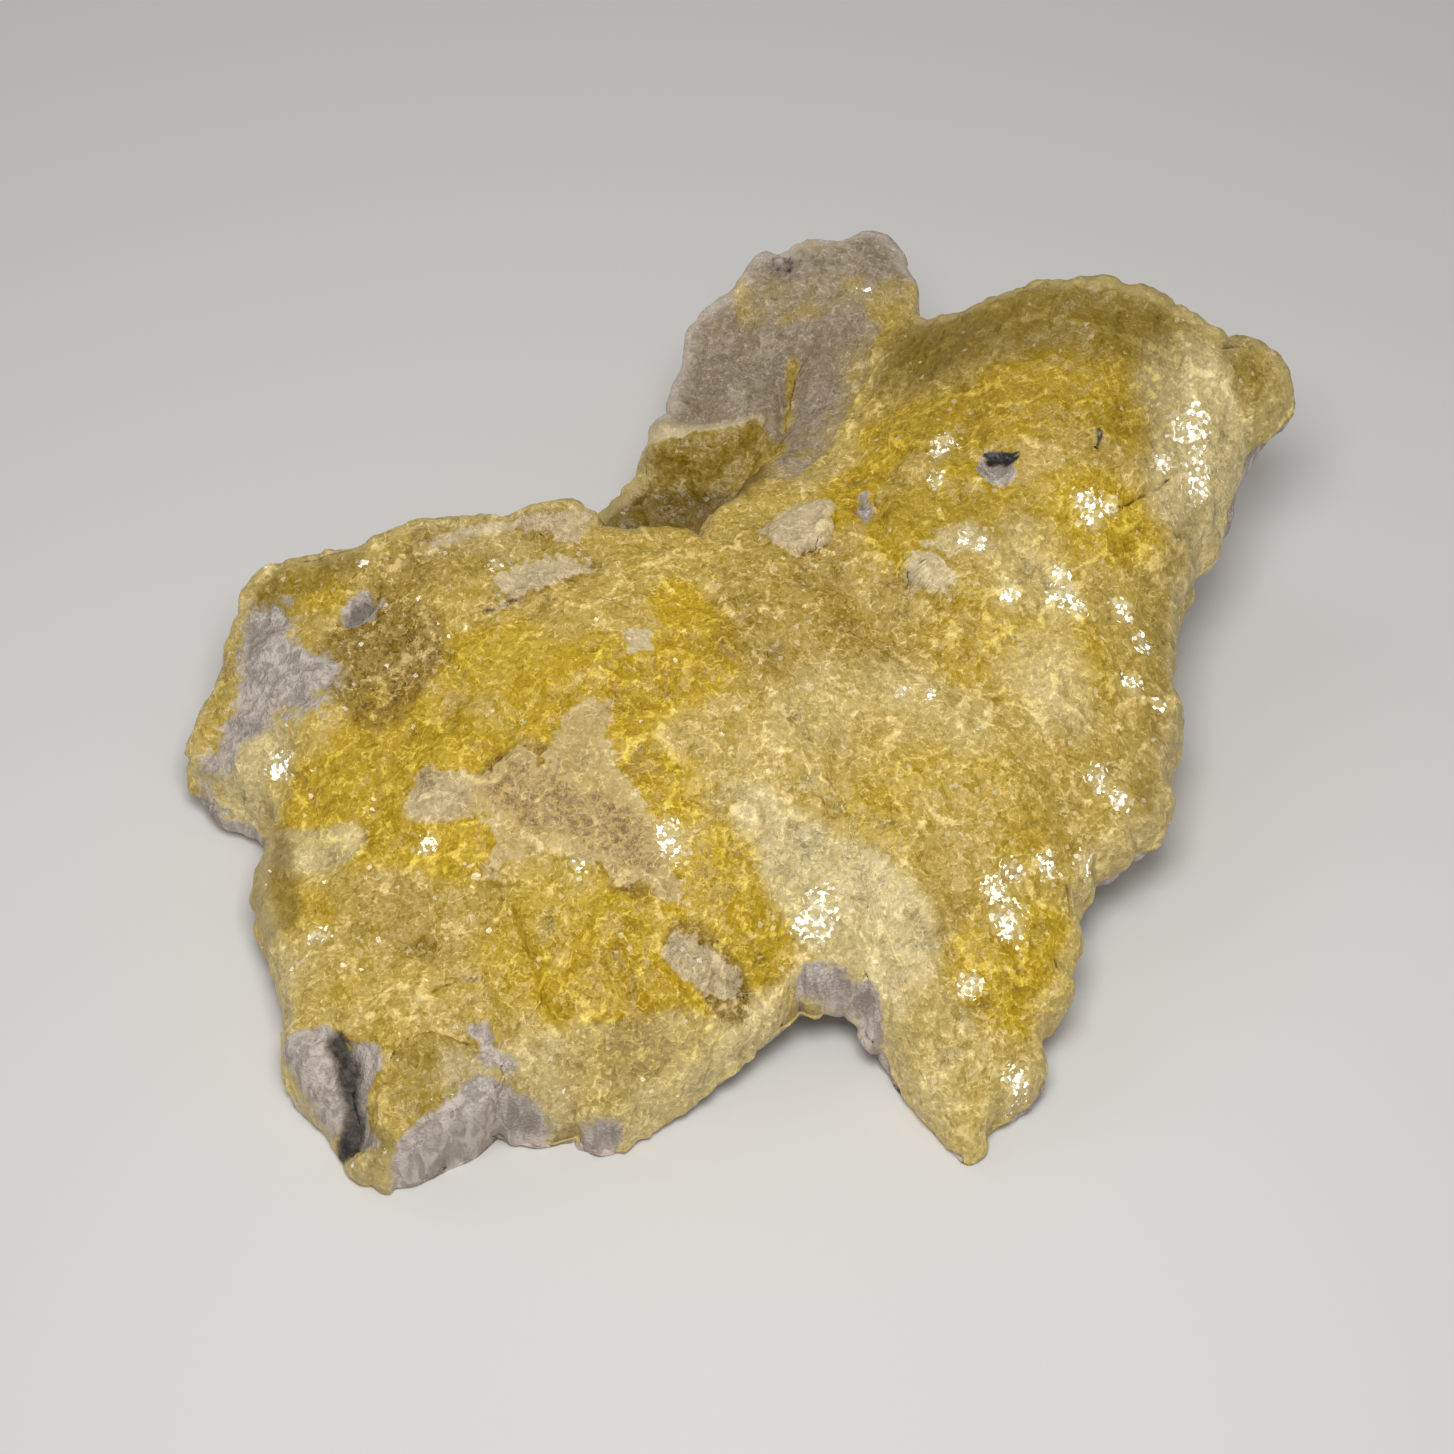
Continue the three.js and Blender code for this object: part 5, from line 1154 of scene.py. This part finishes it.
chalk = smooth_step(0.35, 0.65, masks["chalk"])
stone = smooth_step(0.3, 0.7, masks["stone"])
crust = 1 - np.maximum(chalk, stone)
normals = outward(form_points)
warped = form_points + WARP * np.column_stack([cloud_field(form_points, 2.2, 60 + k) for k in range(3)])
large, large_rim = plate_field(warped, DISC_PITCH, 71, edge=0.1)
little, little_rim = plate_field(warped, SMALL_DISC_PITCH, 81, edge=0.14)
plates = large + 0.6 * little
beads = lump_field(form_points, BEAD_PITCH, 91)
flank = smooth_step(5, 10, plan_x) * smooth_step(9, 4, plan_y)
fibres = form_points * UPRIGHT_STRETCH + 0.5 * rough_field(form_points, 3.0, 2, 95)[:, None]
rough = rough_field(fibres, 2.0, 4, 101)
fine = crust * (between(*DISC_HEIGHTS, flank) * plates + between(*BEAD_HEIGHTS, flank) * beads)
fine = fine + crust * UNEVEN_HEIGHT * rough_field(form_points, 1.3, 2, 111)
fine = fine + (chalk * ROCK_HEIGHT + stone * STONE_HEIGHT) * rough
fine = fine + side_share * SIDE_LUMP_HEIGHT * lump_field(form_points, 1.9, 121)
fine[on_ground] = 0
final_points = form_points + normals * fine[:, None]
final_points[:, 2] = np.maximum(final_points[:, 2], 0)
masks["plate_rim"] = np.maximum.reduce([
    large_rim, 0.7 * little_rim, stroke_mask(plan_x, plan_y, PLATE_EDGES) * on_top,
])
facing_focus = (normals * unit(FLAKE_FOCUS - form_points)).sum(1)
masks["glint"] = masks["glint"] - smooth_step(0.45, 0.15, facing_focus)
lie = 0.8 * (beads + MEAN_DIP) + 0.35 * (plates - plates.mean()) + 0.5 * push
# hollow: the low places of the relief; the finish paints shade into them and gathers its dirt there
masks["hollow"] = smooth_step(0.05, -0.45, lie)
print("fine relief from", round(float(fine.min()), 2), "to", round(float(fine.max()), 2), "mm")

# %% [markdown]
# ## The mesh
# The arrays go into one mesh. Its box is centred on the CAD solid's box, on the ground, so the fine surface
# lies where the solid lies. The masks go in as attributes, one value for each point.

# %% The specimen's object
centre = (final_points.min(0) + final_points.max(0)) / 2 - (CAD_LOW + CAD_HIGH) / 2
centre[2] = 0
mesh = bpy.data.meshes.new("brucite")
mesh.from_pydata(((final_points - centre) * MM).tolist(), [], faces.tolist())
mesh.shade_smooth()
for name, mask in masks.items():
    mesh.attributes.new(name, "FLOAT", "POINT").data.foreach_set("value", mask.astype(np.float32))
mesh.update()
specimen = in_scene("brucite", mesh)
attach(specimen, "root")
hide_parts("brucite_specimen")
low, high = final_points.min(0) - centre, final_points.max(0) - centre
print(len(mesh.polygons), "faces; box", np.round(low, 2), "to", np.round(high, 2), "mm")

# %% [markdown]
# ## Sums on sockets
# A finish is a graph of nodes. Written out link by link it is hard to read, so a wire stands for one output
# socket, and adding or multiplying wires adds the Math nodes that do it. Every other kind of node comes from
# one method, which takes the node's settings first and then what goes into its sockets. The methods after it
# are short forms for what is used most.


# %% Wires and finishes
class Wire:
    """One output socket that can be used in sums; 1 - mask works too, through the reflected operators."""

    def __init__(self, finish, socket):
        self.finish, self.socket = finish, socket

    def math(self, operation, first, second):
        return self.finish.node("ShaderNodeMath", {"operation": operation}, {0: first, 1: second})

    def __add__(self, other):
        return self.math("ADD", self, other)

    def __sub__(self, other):
        return self.math("SUBTRACT", self, other)

    def __rsub__(self, other):
        return self.math("SUBTRACT", other, self)

    def __mul__(self, other):
        return self.math("MULTIPLY", self, other)

    def __abs__(self):
        return self.math("ABSOLUTE", self, 0.0)

    __radd__ = __add__
    __rmul__ = __mul__


class Finish:
    """A material being made."""

    def __init__(self, name):
        self.material = bpy.data.materials.new(name)
        self.material.use_nodes = True
        self.tree = self.material.node_tree
        self.tree.nodes.clear()

    def node(self, kind, settings=None, sockets=None, output=0):
        """Adds a node: its settings, then a value or a wire for each socket, by number or name."""
        made = self.tree.nodes.new(kind)
        for name, value in (settings or {}).items():
            setattr(made, name, value)
        enabled = [socket for socket in made.inputs if socket.enabled]
        for key, value in (sockets or {}).items():
            is_number = isinstance(key, int)
            socket = made.inputs[key] if is_number else next(s for s in enabled if s.name == key)
            if isinstance(value, Wire):
                self.tree.links.new(value.socket, socket)
            else:
                socket.default_value = value
        outputs = [socket for socket in made.outputs if socket.enabled]
        chosen = outputs[output] if isinstance(output, int) else next(s for s in outputs if s.name == output)
        return Wire(self, chosen)

    def mask(self, name):
        """A mask of the mesh."""
        return self.node("ShaderNodeAttribute", {"attribute_name": name}, output="Fac")

    def step(self, value, low, high):
        """The smooth step again, as a Map Range node."""
        return self.node("ShaderNodeMapRange", {"interpolation_type": "SMOOTHSTEP"},
                         {"Value": value, "From Min": low, "From Max": high})

    def mix(self, factor, first, second):
        """From the first colour to the second."""
        return self.node("ShaderNodeMix", {"data_type": "RGBA"}, {"Factor": factor, "A": first, "B": second})

    def layers(self, colour, *covers):
        """A colour covered by one after another, each of them as far as its own mask says."""
        for mask, cover in covers:
            colour = self.mix(mask, colour, cover)
        return colour

    def vector(self, operation, first, second):
        """A sum on vectors."""
        return self.node("ShaderNodeVectorMath", {"operation": operation}, {0: first, 1: second})

    def rough_step(self, name, noise, share, low, high):
        """A smooth step of a mask whose border is broken up by a share of a noise."""
        return self.step(self.mask(name) + share * (noise - 0.5), low, high)

    def texture(self, kind, place, pitch, output=0, settings=None, **sockets):
        """A texture whose cells or clouds are about one pitch wide, in millimetres."""
        sockets.update({"Vector": place, "Scale": 1 / (pitch * MM)})
        return self.node("ShaderNodeTex" + kind, settings, sockets, output)

    def plus(self, first, second, share):
        """The first colour or vector plus a share of the second; the share may vary from place to place."""
        share = share if isinstance(share, Wire) else (share,) * 3
        return self.vector("ADD", first, self.vector("MULTIPLY", second, share))

    def principled(self, settings=None, **sockets):
        """A Principled shader; a socket's name is written with _ for its spaces."""
        named = {name.replace("_", " "): value for name, value in sockets.items()}
        return self.node("ShaderNodeBsdfPrincipled", settings, named)

    def finished(self, shader):
        """The material, with its output node added behind the shader."""
        output = self.tree.nodes.new("ShaderNodeOutputMaterial")
        self.tree.links.new(shader.socket, output.inputs["Surface"])
        return self.material


def paint(red, green, blue):
    """A colour from 0-255 values, made linear: v / 12.92 if dark, else ((v + 0.055) / 1.055) ^ 2.4."""
    shares = [value / 255 for value in (red, green, blue)]
    return tuple(v / 12.92 if v < 0.04 else ((v + 0.055) / 1.055) ** 2.4 for v in shares) + (1.0,)


finish = Finish("brucite")
place = finish.node("ShaderNodeTexCoord", output="Object")
print("finish started:", finish.material.name)

# %% [markdown]
# ## Colours of the crust
# The crust is translucent, so its colour lies in soft clouds a few millimetres wide: tan yellow, lemon gold
# where it is thick and clean, and a pale cream where it is milky. The masks carry these clouds already, and
# fine noise only breaks up their borders. Olive, partly painted shade, then dust, then the pale rim, partly
# painted glow of the thin edge, lie over them.

# %% Colours of the crust
TAN = paint(207, 177, 80)
LEMON = paint(208, 172, 0)
DEEP_LEMON = paint(194, 156, 0)
CREAM = paint(230, 208, 144)
OLIVE_AND_SHADE_COLOUR = paint(128, 102, 10)
DUSTY = paint(152, 120, 26)
SMALL_PITCH, GRAIN_PITCH = 0.5, 0.15

small = finish.texture("Noise", place, SMALL_PITCH, Detail=2.0)
grain = finish.texture("Noise", place, GRAIN_PITCH, Detail=1.0)
curds = finish.mask("curds")
gold = finish.rough_step("gold", small, 0.1, -0.05, 0.9)
deep = finish.step(finish.mask("gold"), 0.7, 1.4)
pale = finish.rough_step("pale", small, 0.2, 0.1, 1.0)
soiled = finish.rough_step("dust", small, 0.4, 0.15, 1.0)
# olive with painted shade: the crust's own olive, and painted shade where it lies low or turned away
olive_and_shade = finish.mask("olive_and_shade")
crust_colour = finish.layers(
    TAN, (gold, LEMON), (deep, DEEP_LEMON), (pale, CREAM), (olive_and_shade, OLIVE_AND_SHADE_COLOUR), (soiled * 0.8, DUSTY),
    (finish.mask("rim") * 0.5, CREAM),
)
print("colours of the crust:", len(finish.tree.nodes), "nodes")

# %% [markdown]
# ## Flakes, scales, rims and hairs
# Close up the crust is a felt of tiny flakes on scales nearly a millimetre wide, and its plates have thin,
# pale rims, kept to the raised side of each plate as a painted highlight. There are curly hairs too, the
# dark ones strongest in hollows and where dust has settled. A Voronoi cell stands for a flake or a scale,
# and its random colour gives it its tone here and its lean further on. A hair lies where a noise passes
# through a set value, which it does along curly lines. What darkens the crust multiplies its colour: the
# dark hairs and specks as dirt, and the hollows themselves as painted shade. What is milky adds to it.

# %% Flakes, scales, rims and hairs
FLAKE_PITCH = 0.23
SCALE_PITCH = 0.75
BEND = 0.9  # pitch of the noise that bends the scales out of shape, and how far it bends them
CURL_PITCH = 0.42
HAIR_AT, PALE_HAIR_AT = 0.48, 0.57  # the values of the curly noise that the hairs follow

# adding one of these lightens the crust, or the gold in it, and leaves its hue alone
PALE_YELLOW = (1.12, 0.88, 0.5, 1)
GOLDEN = (1.12, 0.9, 0.22, 1)
GLINT_HALO_CREAM = paint(238, 222, 170)

flake_random = finish.texture("Voronoi", place, FLAKE_PITCH, "Color")
flake_pick, flake_tint, flake_tone = [
    finish.node("ShaderNodeSeparateColor", {}, {0: flake_random}, output=channel)
    for channel in ("Red", "Green", "Blue")
]
bent = finish.plus(place, finish.texture("Noise", place, BEND, "Color", Detail=1.0), BEND * MM)
scale_random = finish.texture("Voronoi", bent, SCALE_PITCH, "Color")
scale_tone = finish.node("ShaderNodeSeparateColor", {}, {0: scale_random}, output="Blue")
to_edge = finish.texture("Voronoi", bent, SCALE_PITCH, settings={"feature": "DISTANCE_TO_EDGE"})

hollow = finish.mask("hollow")
curl = finish.texture("Noise", bent, CURL_PITCH, Detail=1.0)
hair = finish.step(abs(curl - HAIR_AT), 0.035, 0.015) * finish.step(grain, 0.42, 0.55)
pale_hair = finish.step(abs(curl - PALE_HAIR_AT), 0.03, 0.01) * finish.step(small, 0.42, 0.55)
arc = finish.step(to_edge, 0.07, 0.03) * finish.step(small + 0.5 * (grain - 0.5), 0.5, 0.58)
specks = finish.step(grain, 0.68, 0.74)
plate_rim = finish.rough_step("plate_rim", grain, 0.4, 0.35, 0.8) * finish.step(small, 0.35, 0.55)
dark_hair = hair * (0.14 + 0.34 * soiled + 0.22 * hollow)
dark_specks = specks * (0.12 + 0.4 * soiled + 0.2 * hollow)
# 0.18 * hollow is painted shade in the hollows; the dark hairs and specks are dirt, heavier in hollows and
# dust
tone = 1 - 0.18 * hollow - (dark_hair + dark_specks) * (1 - 0.8 * olive_and_shade)
milky = 0.3 * (grain - 0.5) + 0.06 * (small - 0.5)
# plate_rim: the plates' own pale edges, shown on their raised side only as a painted highlight
milky = milky + 0.14 * pale_hair + 0.3 * plate_rim + 0.24 * arc
milky = milky + 0.17 * (flake_tone - 0.5) + 0.08 * (scale_tone - 0.5)
milky = milky * (1 - 0.85 * olive_and_shade)
crust_colour = finish.vector("MULTIPLY", crust_colour, tone)
crust_colour = finish.plus(crust_colour, finish.mix(gold, PALE_YELLOW, GOLDEN), milky)
# Painted highlight: a cream halo round each cluster of bright flakes, like the glow round their flash
painted_glint_halo = finish.step(finish.mask("glint"), 0.1, 0.9)
crust_colour = finish.mix(painted_glint_halo * 0.5, crust_colour, GLINT_HALO_CREAM)
print("with its flakes and hairs:", len(finish.tree.nodes), "nodes")

# %% [markdown]
# ## Thin crust and cream skin
# Over the gold of the left lobe lies a thin, dull crust of buff grains, peppered with lilac-brown specks,
# with a paler edge. Its border is the patch's ramp, broken by fine noise. A cream skin covers a few smaller
# places.

# %% Thin crust and cream skin
BUFF_GRAIN = paint(212, 183, 114)
BUFF_EDGE = paint(218, 194, 132)
LILAC_SPECK = paint(132, 108, 86)
SKIN = paint(222, 202, 158)

ragged = 0.9 * (small - 0.5) + 0.5 * curds
thin_ramp = finish.mask("thin") + ragged
thin = finish.step(thin_ramp, 0.34, 0.48)
thin_edge = thin * finish.step(thin_ramp, 0.9, 0.6)
pepper = finish.step(grain + 0.8 * (curl - 0.5), 0.44, 0.56) * finish.step(curds + soiled, -0.1, 0.7)
thin_pepper = pepper * (1 - 0.7 * thin_edge) * 0.65
thin_colour = finish.layers(
    BUFF_GRAIN, (thin_edge * 0.7, BUFF_EDGE), (pale * 0.6, SKIN), (thin_pepper, LILAC_SPECK),
)
thin_colour = finish.plus(thin_colour, PALE_YELLOW[:3], milky * 0.9)
skin = finish.step(finish.mask("cream") + ragged, 0.4, 0.6)
skin_colour = finish.mix(pepper * soiled * 0.4 + hair * 0.15, SKIN, LILAC_SPECK)
skin_colour = finish.plus(skin_colour, PALE_YELLOW[:3], milky * 0.7)
crust_colour = finish.layers(crust_colour, (skin * 0.9, skin_colour), (thin, thin_colour))
print("with the thin crust and skin:", len(finish.tree.nodes), "nodes")

# %% [markdown]
# ## Rock and stone
# The base is grey-white and chalky, with a fibrous grain and dark lilac-grey specks. It shows where the crust
# is missing, on the broken sides and on nearly all of the underside. The stub is a smoother buff stone.

# %% Rock and stone
CHALK = paint(226, 214, 200)
ROCK_GREY = paint(184, 172, 160)
ROCK_SHADOW = paint(120, 108, 102)
BUFF_STONE = paint(182, 165, 139)
STONE_SHADE = paint(148, 131, 104)
NEAR_BLACK = paint(44, 38, 38)
FIBRE_PITCH = 0.6

chalk = finish.step(finish.mask("chalk") + 0.8 * (small - 0.5) + 0.4 * curds, 0.34, 0.66)
stone = finish.step(finish.mask("stone") + 0.3 * (small - 0.5) + 0.3 * curds, 0.3, 0.9)
streaked = finish.vector("MULTIPLY", place, UPRIGHT_STRETCH)
fibre = finish.texture("Noise", streaked, FIBRE_PITCH, Detail=3.0, Distortion=0.8)
# Painted shade: near black in the pits, cracks and crevices, hard on the crust and softer on the rock
painted_shade = finish.rough_step("painted_shade", small, 0.8, 0.25, 0.75)
rock_painted_shade = finish.rough_step("painted_shade", small, 0.4, 0.1, 1.0)
rock_colour = finish.layers(
    CHALK, (finish.step(fibre, 0.62, 0.36), ROCK_GREY),
    (finish.step(grain + 0.6 * curds, 0.5, 0.8) * 0.4, ROCK_SHADOW), (rock_painted_shade, NEAR_BLACK),
)
# the pale rim on the stone's upper edges is painted glow as well as its own paler colour
stone_colour = finish.layers(
    BUFF_STONE, (finish.step(fibre + 0.3 * curds, 0.75, 0.35), STONE_SHADE),
    (finish.mask("rim") * 0.6, CHALK),
)
stone_colour = finish.vector("ADD", stone_colour, 0.25 * (grain - 0.5) + 0.14 * pale_hair + 0.1 * arc)
crust_colour = finish.layers(crust_colour, (stone, stone_colour), (painted_shade, NEAR_BLACK))
print("with the rock and stone:", len(finish.tree.nodes), "nodes")

# %% [markdown]
# ## Sparkle
# Brucite splits into tiny, pearly flakes. Each flake is flat, so it reflects the light one way only, and here
# and there one flashes. The random colour of its cell, less the mean colour, is a small slant that is added
# to the surface's normal. A few flakes everywhere, and most of those at the middle of a cluster, face one
# point between the main light and the camera, so they flash.

# %% Sparkle
FLAKE_LEAN, SCALE_LEAN = 0.25, 0.3  # how far loose flakes and scales lean
SHARED_LEAN = 0.27  # how far the flakes of a cluster lean away from the way they all face
MEAN_COLOUR = (0.5, 0.5, 0.5)
ORIGIN = (0.0, 0.0, 0.0)

fine_height = 0.3 * grain + 0.55 * small + 0.4 * curl
bumpy = finish.node("ShaderNodeBump", {}, {"Strength": 0.8, "Distance": 0.16 * MM, "Height": fine_height})
rock_height = 1.2 * fibre + 0.5 * grain
rock_bump = finish.node("ShaderNodeBump", {}, {"Strength": 0.9, "Distance": 0.22 * MM, "Height": rock_height})

slant = finish.vector("SUBTRACT", flake_random, MEAN_COLOUR)
scale_slant = finish.vector("SUBTRACT", scale_random, MEAN_COLOUR)
loose = finish.plus(finish.plus(bumpy, slant, FLAKE_LEAN), scale_slant, SCALE_LEAN)
loose = finish.vector("NORMALIZE", loose, ORIGIN)
facing = finish.vector("NORMALIZE", finish.vector("SUBTRACT", tuple(FLAKE_FOCUS * MM), place), ORIGIN)
common = finish.vector("NORMALIZE", finish.plus(facing, slant, SHARED_LEAN), ORIGIN)
glint = finish.step(flake_pick + 0.68 * finish.mask("glint") - 0.3 * thin - 0.3 * stone, 0.980, 0.984)
print("with the sparkle:", len(finish.tree.nodes), "nodes")

# %% [markdown]
# ## The finish put together
# Three surfaces are mixed: the waxy crust, the chalky rock and the bright flakes. Light sinks a little way
# into the crust, red and green further than blue, which gives the yellow glow at its edges. That part is
# constant, so it is set on the shader itself.

# %% The finish put together
LIGHT_REACH = (0.9, 0.75, 0.2)  # how far red, green and blue light go, in units of the scale
WAXY_IOR = 1.57
PEARLY = paint(240, 230, 196)

crust_shader = finish.principled(
    {"subsurface_method": "RANDOM_WALK"}, Base_Color=crust_colour, Normal=loose, IOR=WAXY_IOR,
    Roughness=0.34 + 0.2 * grain + 0.3 * thin + 0.3 * stone + 0.2 * soiled,
    Subsurface_Weight=0.22, Subsurface_Radius=LIGHT_REACH, Subsurface_Scale=0.8 * MM,
)
rock_shader = finish.principled(Base_Color=rock_colour, Normal=rock_bump, Roughness=0.85, IOR=1.5)
flake_colour = finish.mix(finish.step(flake_tint, 0.3, 0.9) * 0.3, crust_colour, PEARLY)
flake_shader = finish.principled(
    Base_Color=flake_colour, Normal=common, Roughness=0.16, IOR=WAXY_IOR, Specular_IOR_Level=1.0,
)
body = finish.node("ShaderNodeMixShader", {}, {0: chalk, 1: crust_shader, 2: rock_shader})
whole = finish.node("ShaderNodeMixShader", {}, {0: glint * (1 - chalk), 1: body, 2: flake_shader})
mesh.materials.append(finish.finished(whole))
print("the whole finish:", len(finish.tree.nodes), "nodes")

# %% [markdown]
# ## The floor
# The specimen lies on a plain pale floor, which is part of the stage and not of the object.

# %% The floor
FLOOR_HALF = 3000
FLOOR_COLOUR = (0.86, 0.85, 0.83, 1)

floor_mesh = bpy.data.meshes.new("floor")
floor_corners = [(-1, -1), (1, -1), (1, 1), (-1, 1)]
floor_points = [(x * FLOOR_HALF * MM, y * FLOOR_HALF * MM, 0) for x, y in floor_corners]
floor_mesh.from_pydata(floor_points, [], [(0, 1, 2, 3)])
floor = in_scene("floor", floor_mesh)
floor_finish = Finish("floor")
floor_mesh.materials.append(floor_finish.finished(floor_finish.principled(
    Base_Color=FLOOR_COLOUR, Roughness=0.9, Specular_IOR_Level=0.2,
)))
print("floor", 2 * FLOOR_HALF / 1000, "m wide")

# %% [markdown]
# ## The lights
# A small soft box stands close by, in front and high up, so the flakes have something bright to catch and the
# near side is the brightest. A weak one behind on the left parts the back edges from the floor, and the
# surroundings give an even, pale light. For a white surface to look white, a small light at a distance d
# needs a power of about pi squared times d squared watts.

# %% The lights
KEY = {"direction": KEY_DIRECTION, "distance": KEY_DISTANCE, "width": 60, "white": 0.54}
RIM_LIGHT = {"direction": np.array([-0.55, 0.45, 0.70]), "distance": 450, "width": 220, "white": 0.07}
SURROUNDINGS = {"Color": (1.0, 0.98, 0.95, 1), "Strength": 0.27}


def soft_box(name, direction, distance, width, white):
    """A square light that looks at the aim point; white is how bright it makes a white surface facing it."""
    light = bpy.data.lights.new(name, "AREA")
    light.size = width * MM
    light.energy = white * (np.pi * distance * MM) ** 2
    box = in_scene(name, light)
    box.location = (AIM + distance * unit(direction)) * MM
    box.rotation_euler = Vector(unit(direction)).to_track_quat("Z", "Y").to_euler()
    return light.energy


print("key", round(soft_box("key", **KEY), 3), "W, rim", round(soft_box("rim", **RIM_LIGHT), 3), "W")
world = bpy.data.worlds.new("surroundings")
world.use_nodes = True
for name, value in SURROUNDINGS.items():
    world.node_tree.nodes["Background"].inputs[name].default_value = value
bpy.context.scene.world = world
bpy.context.scene.view_settings.view_transform = "Standard"
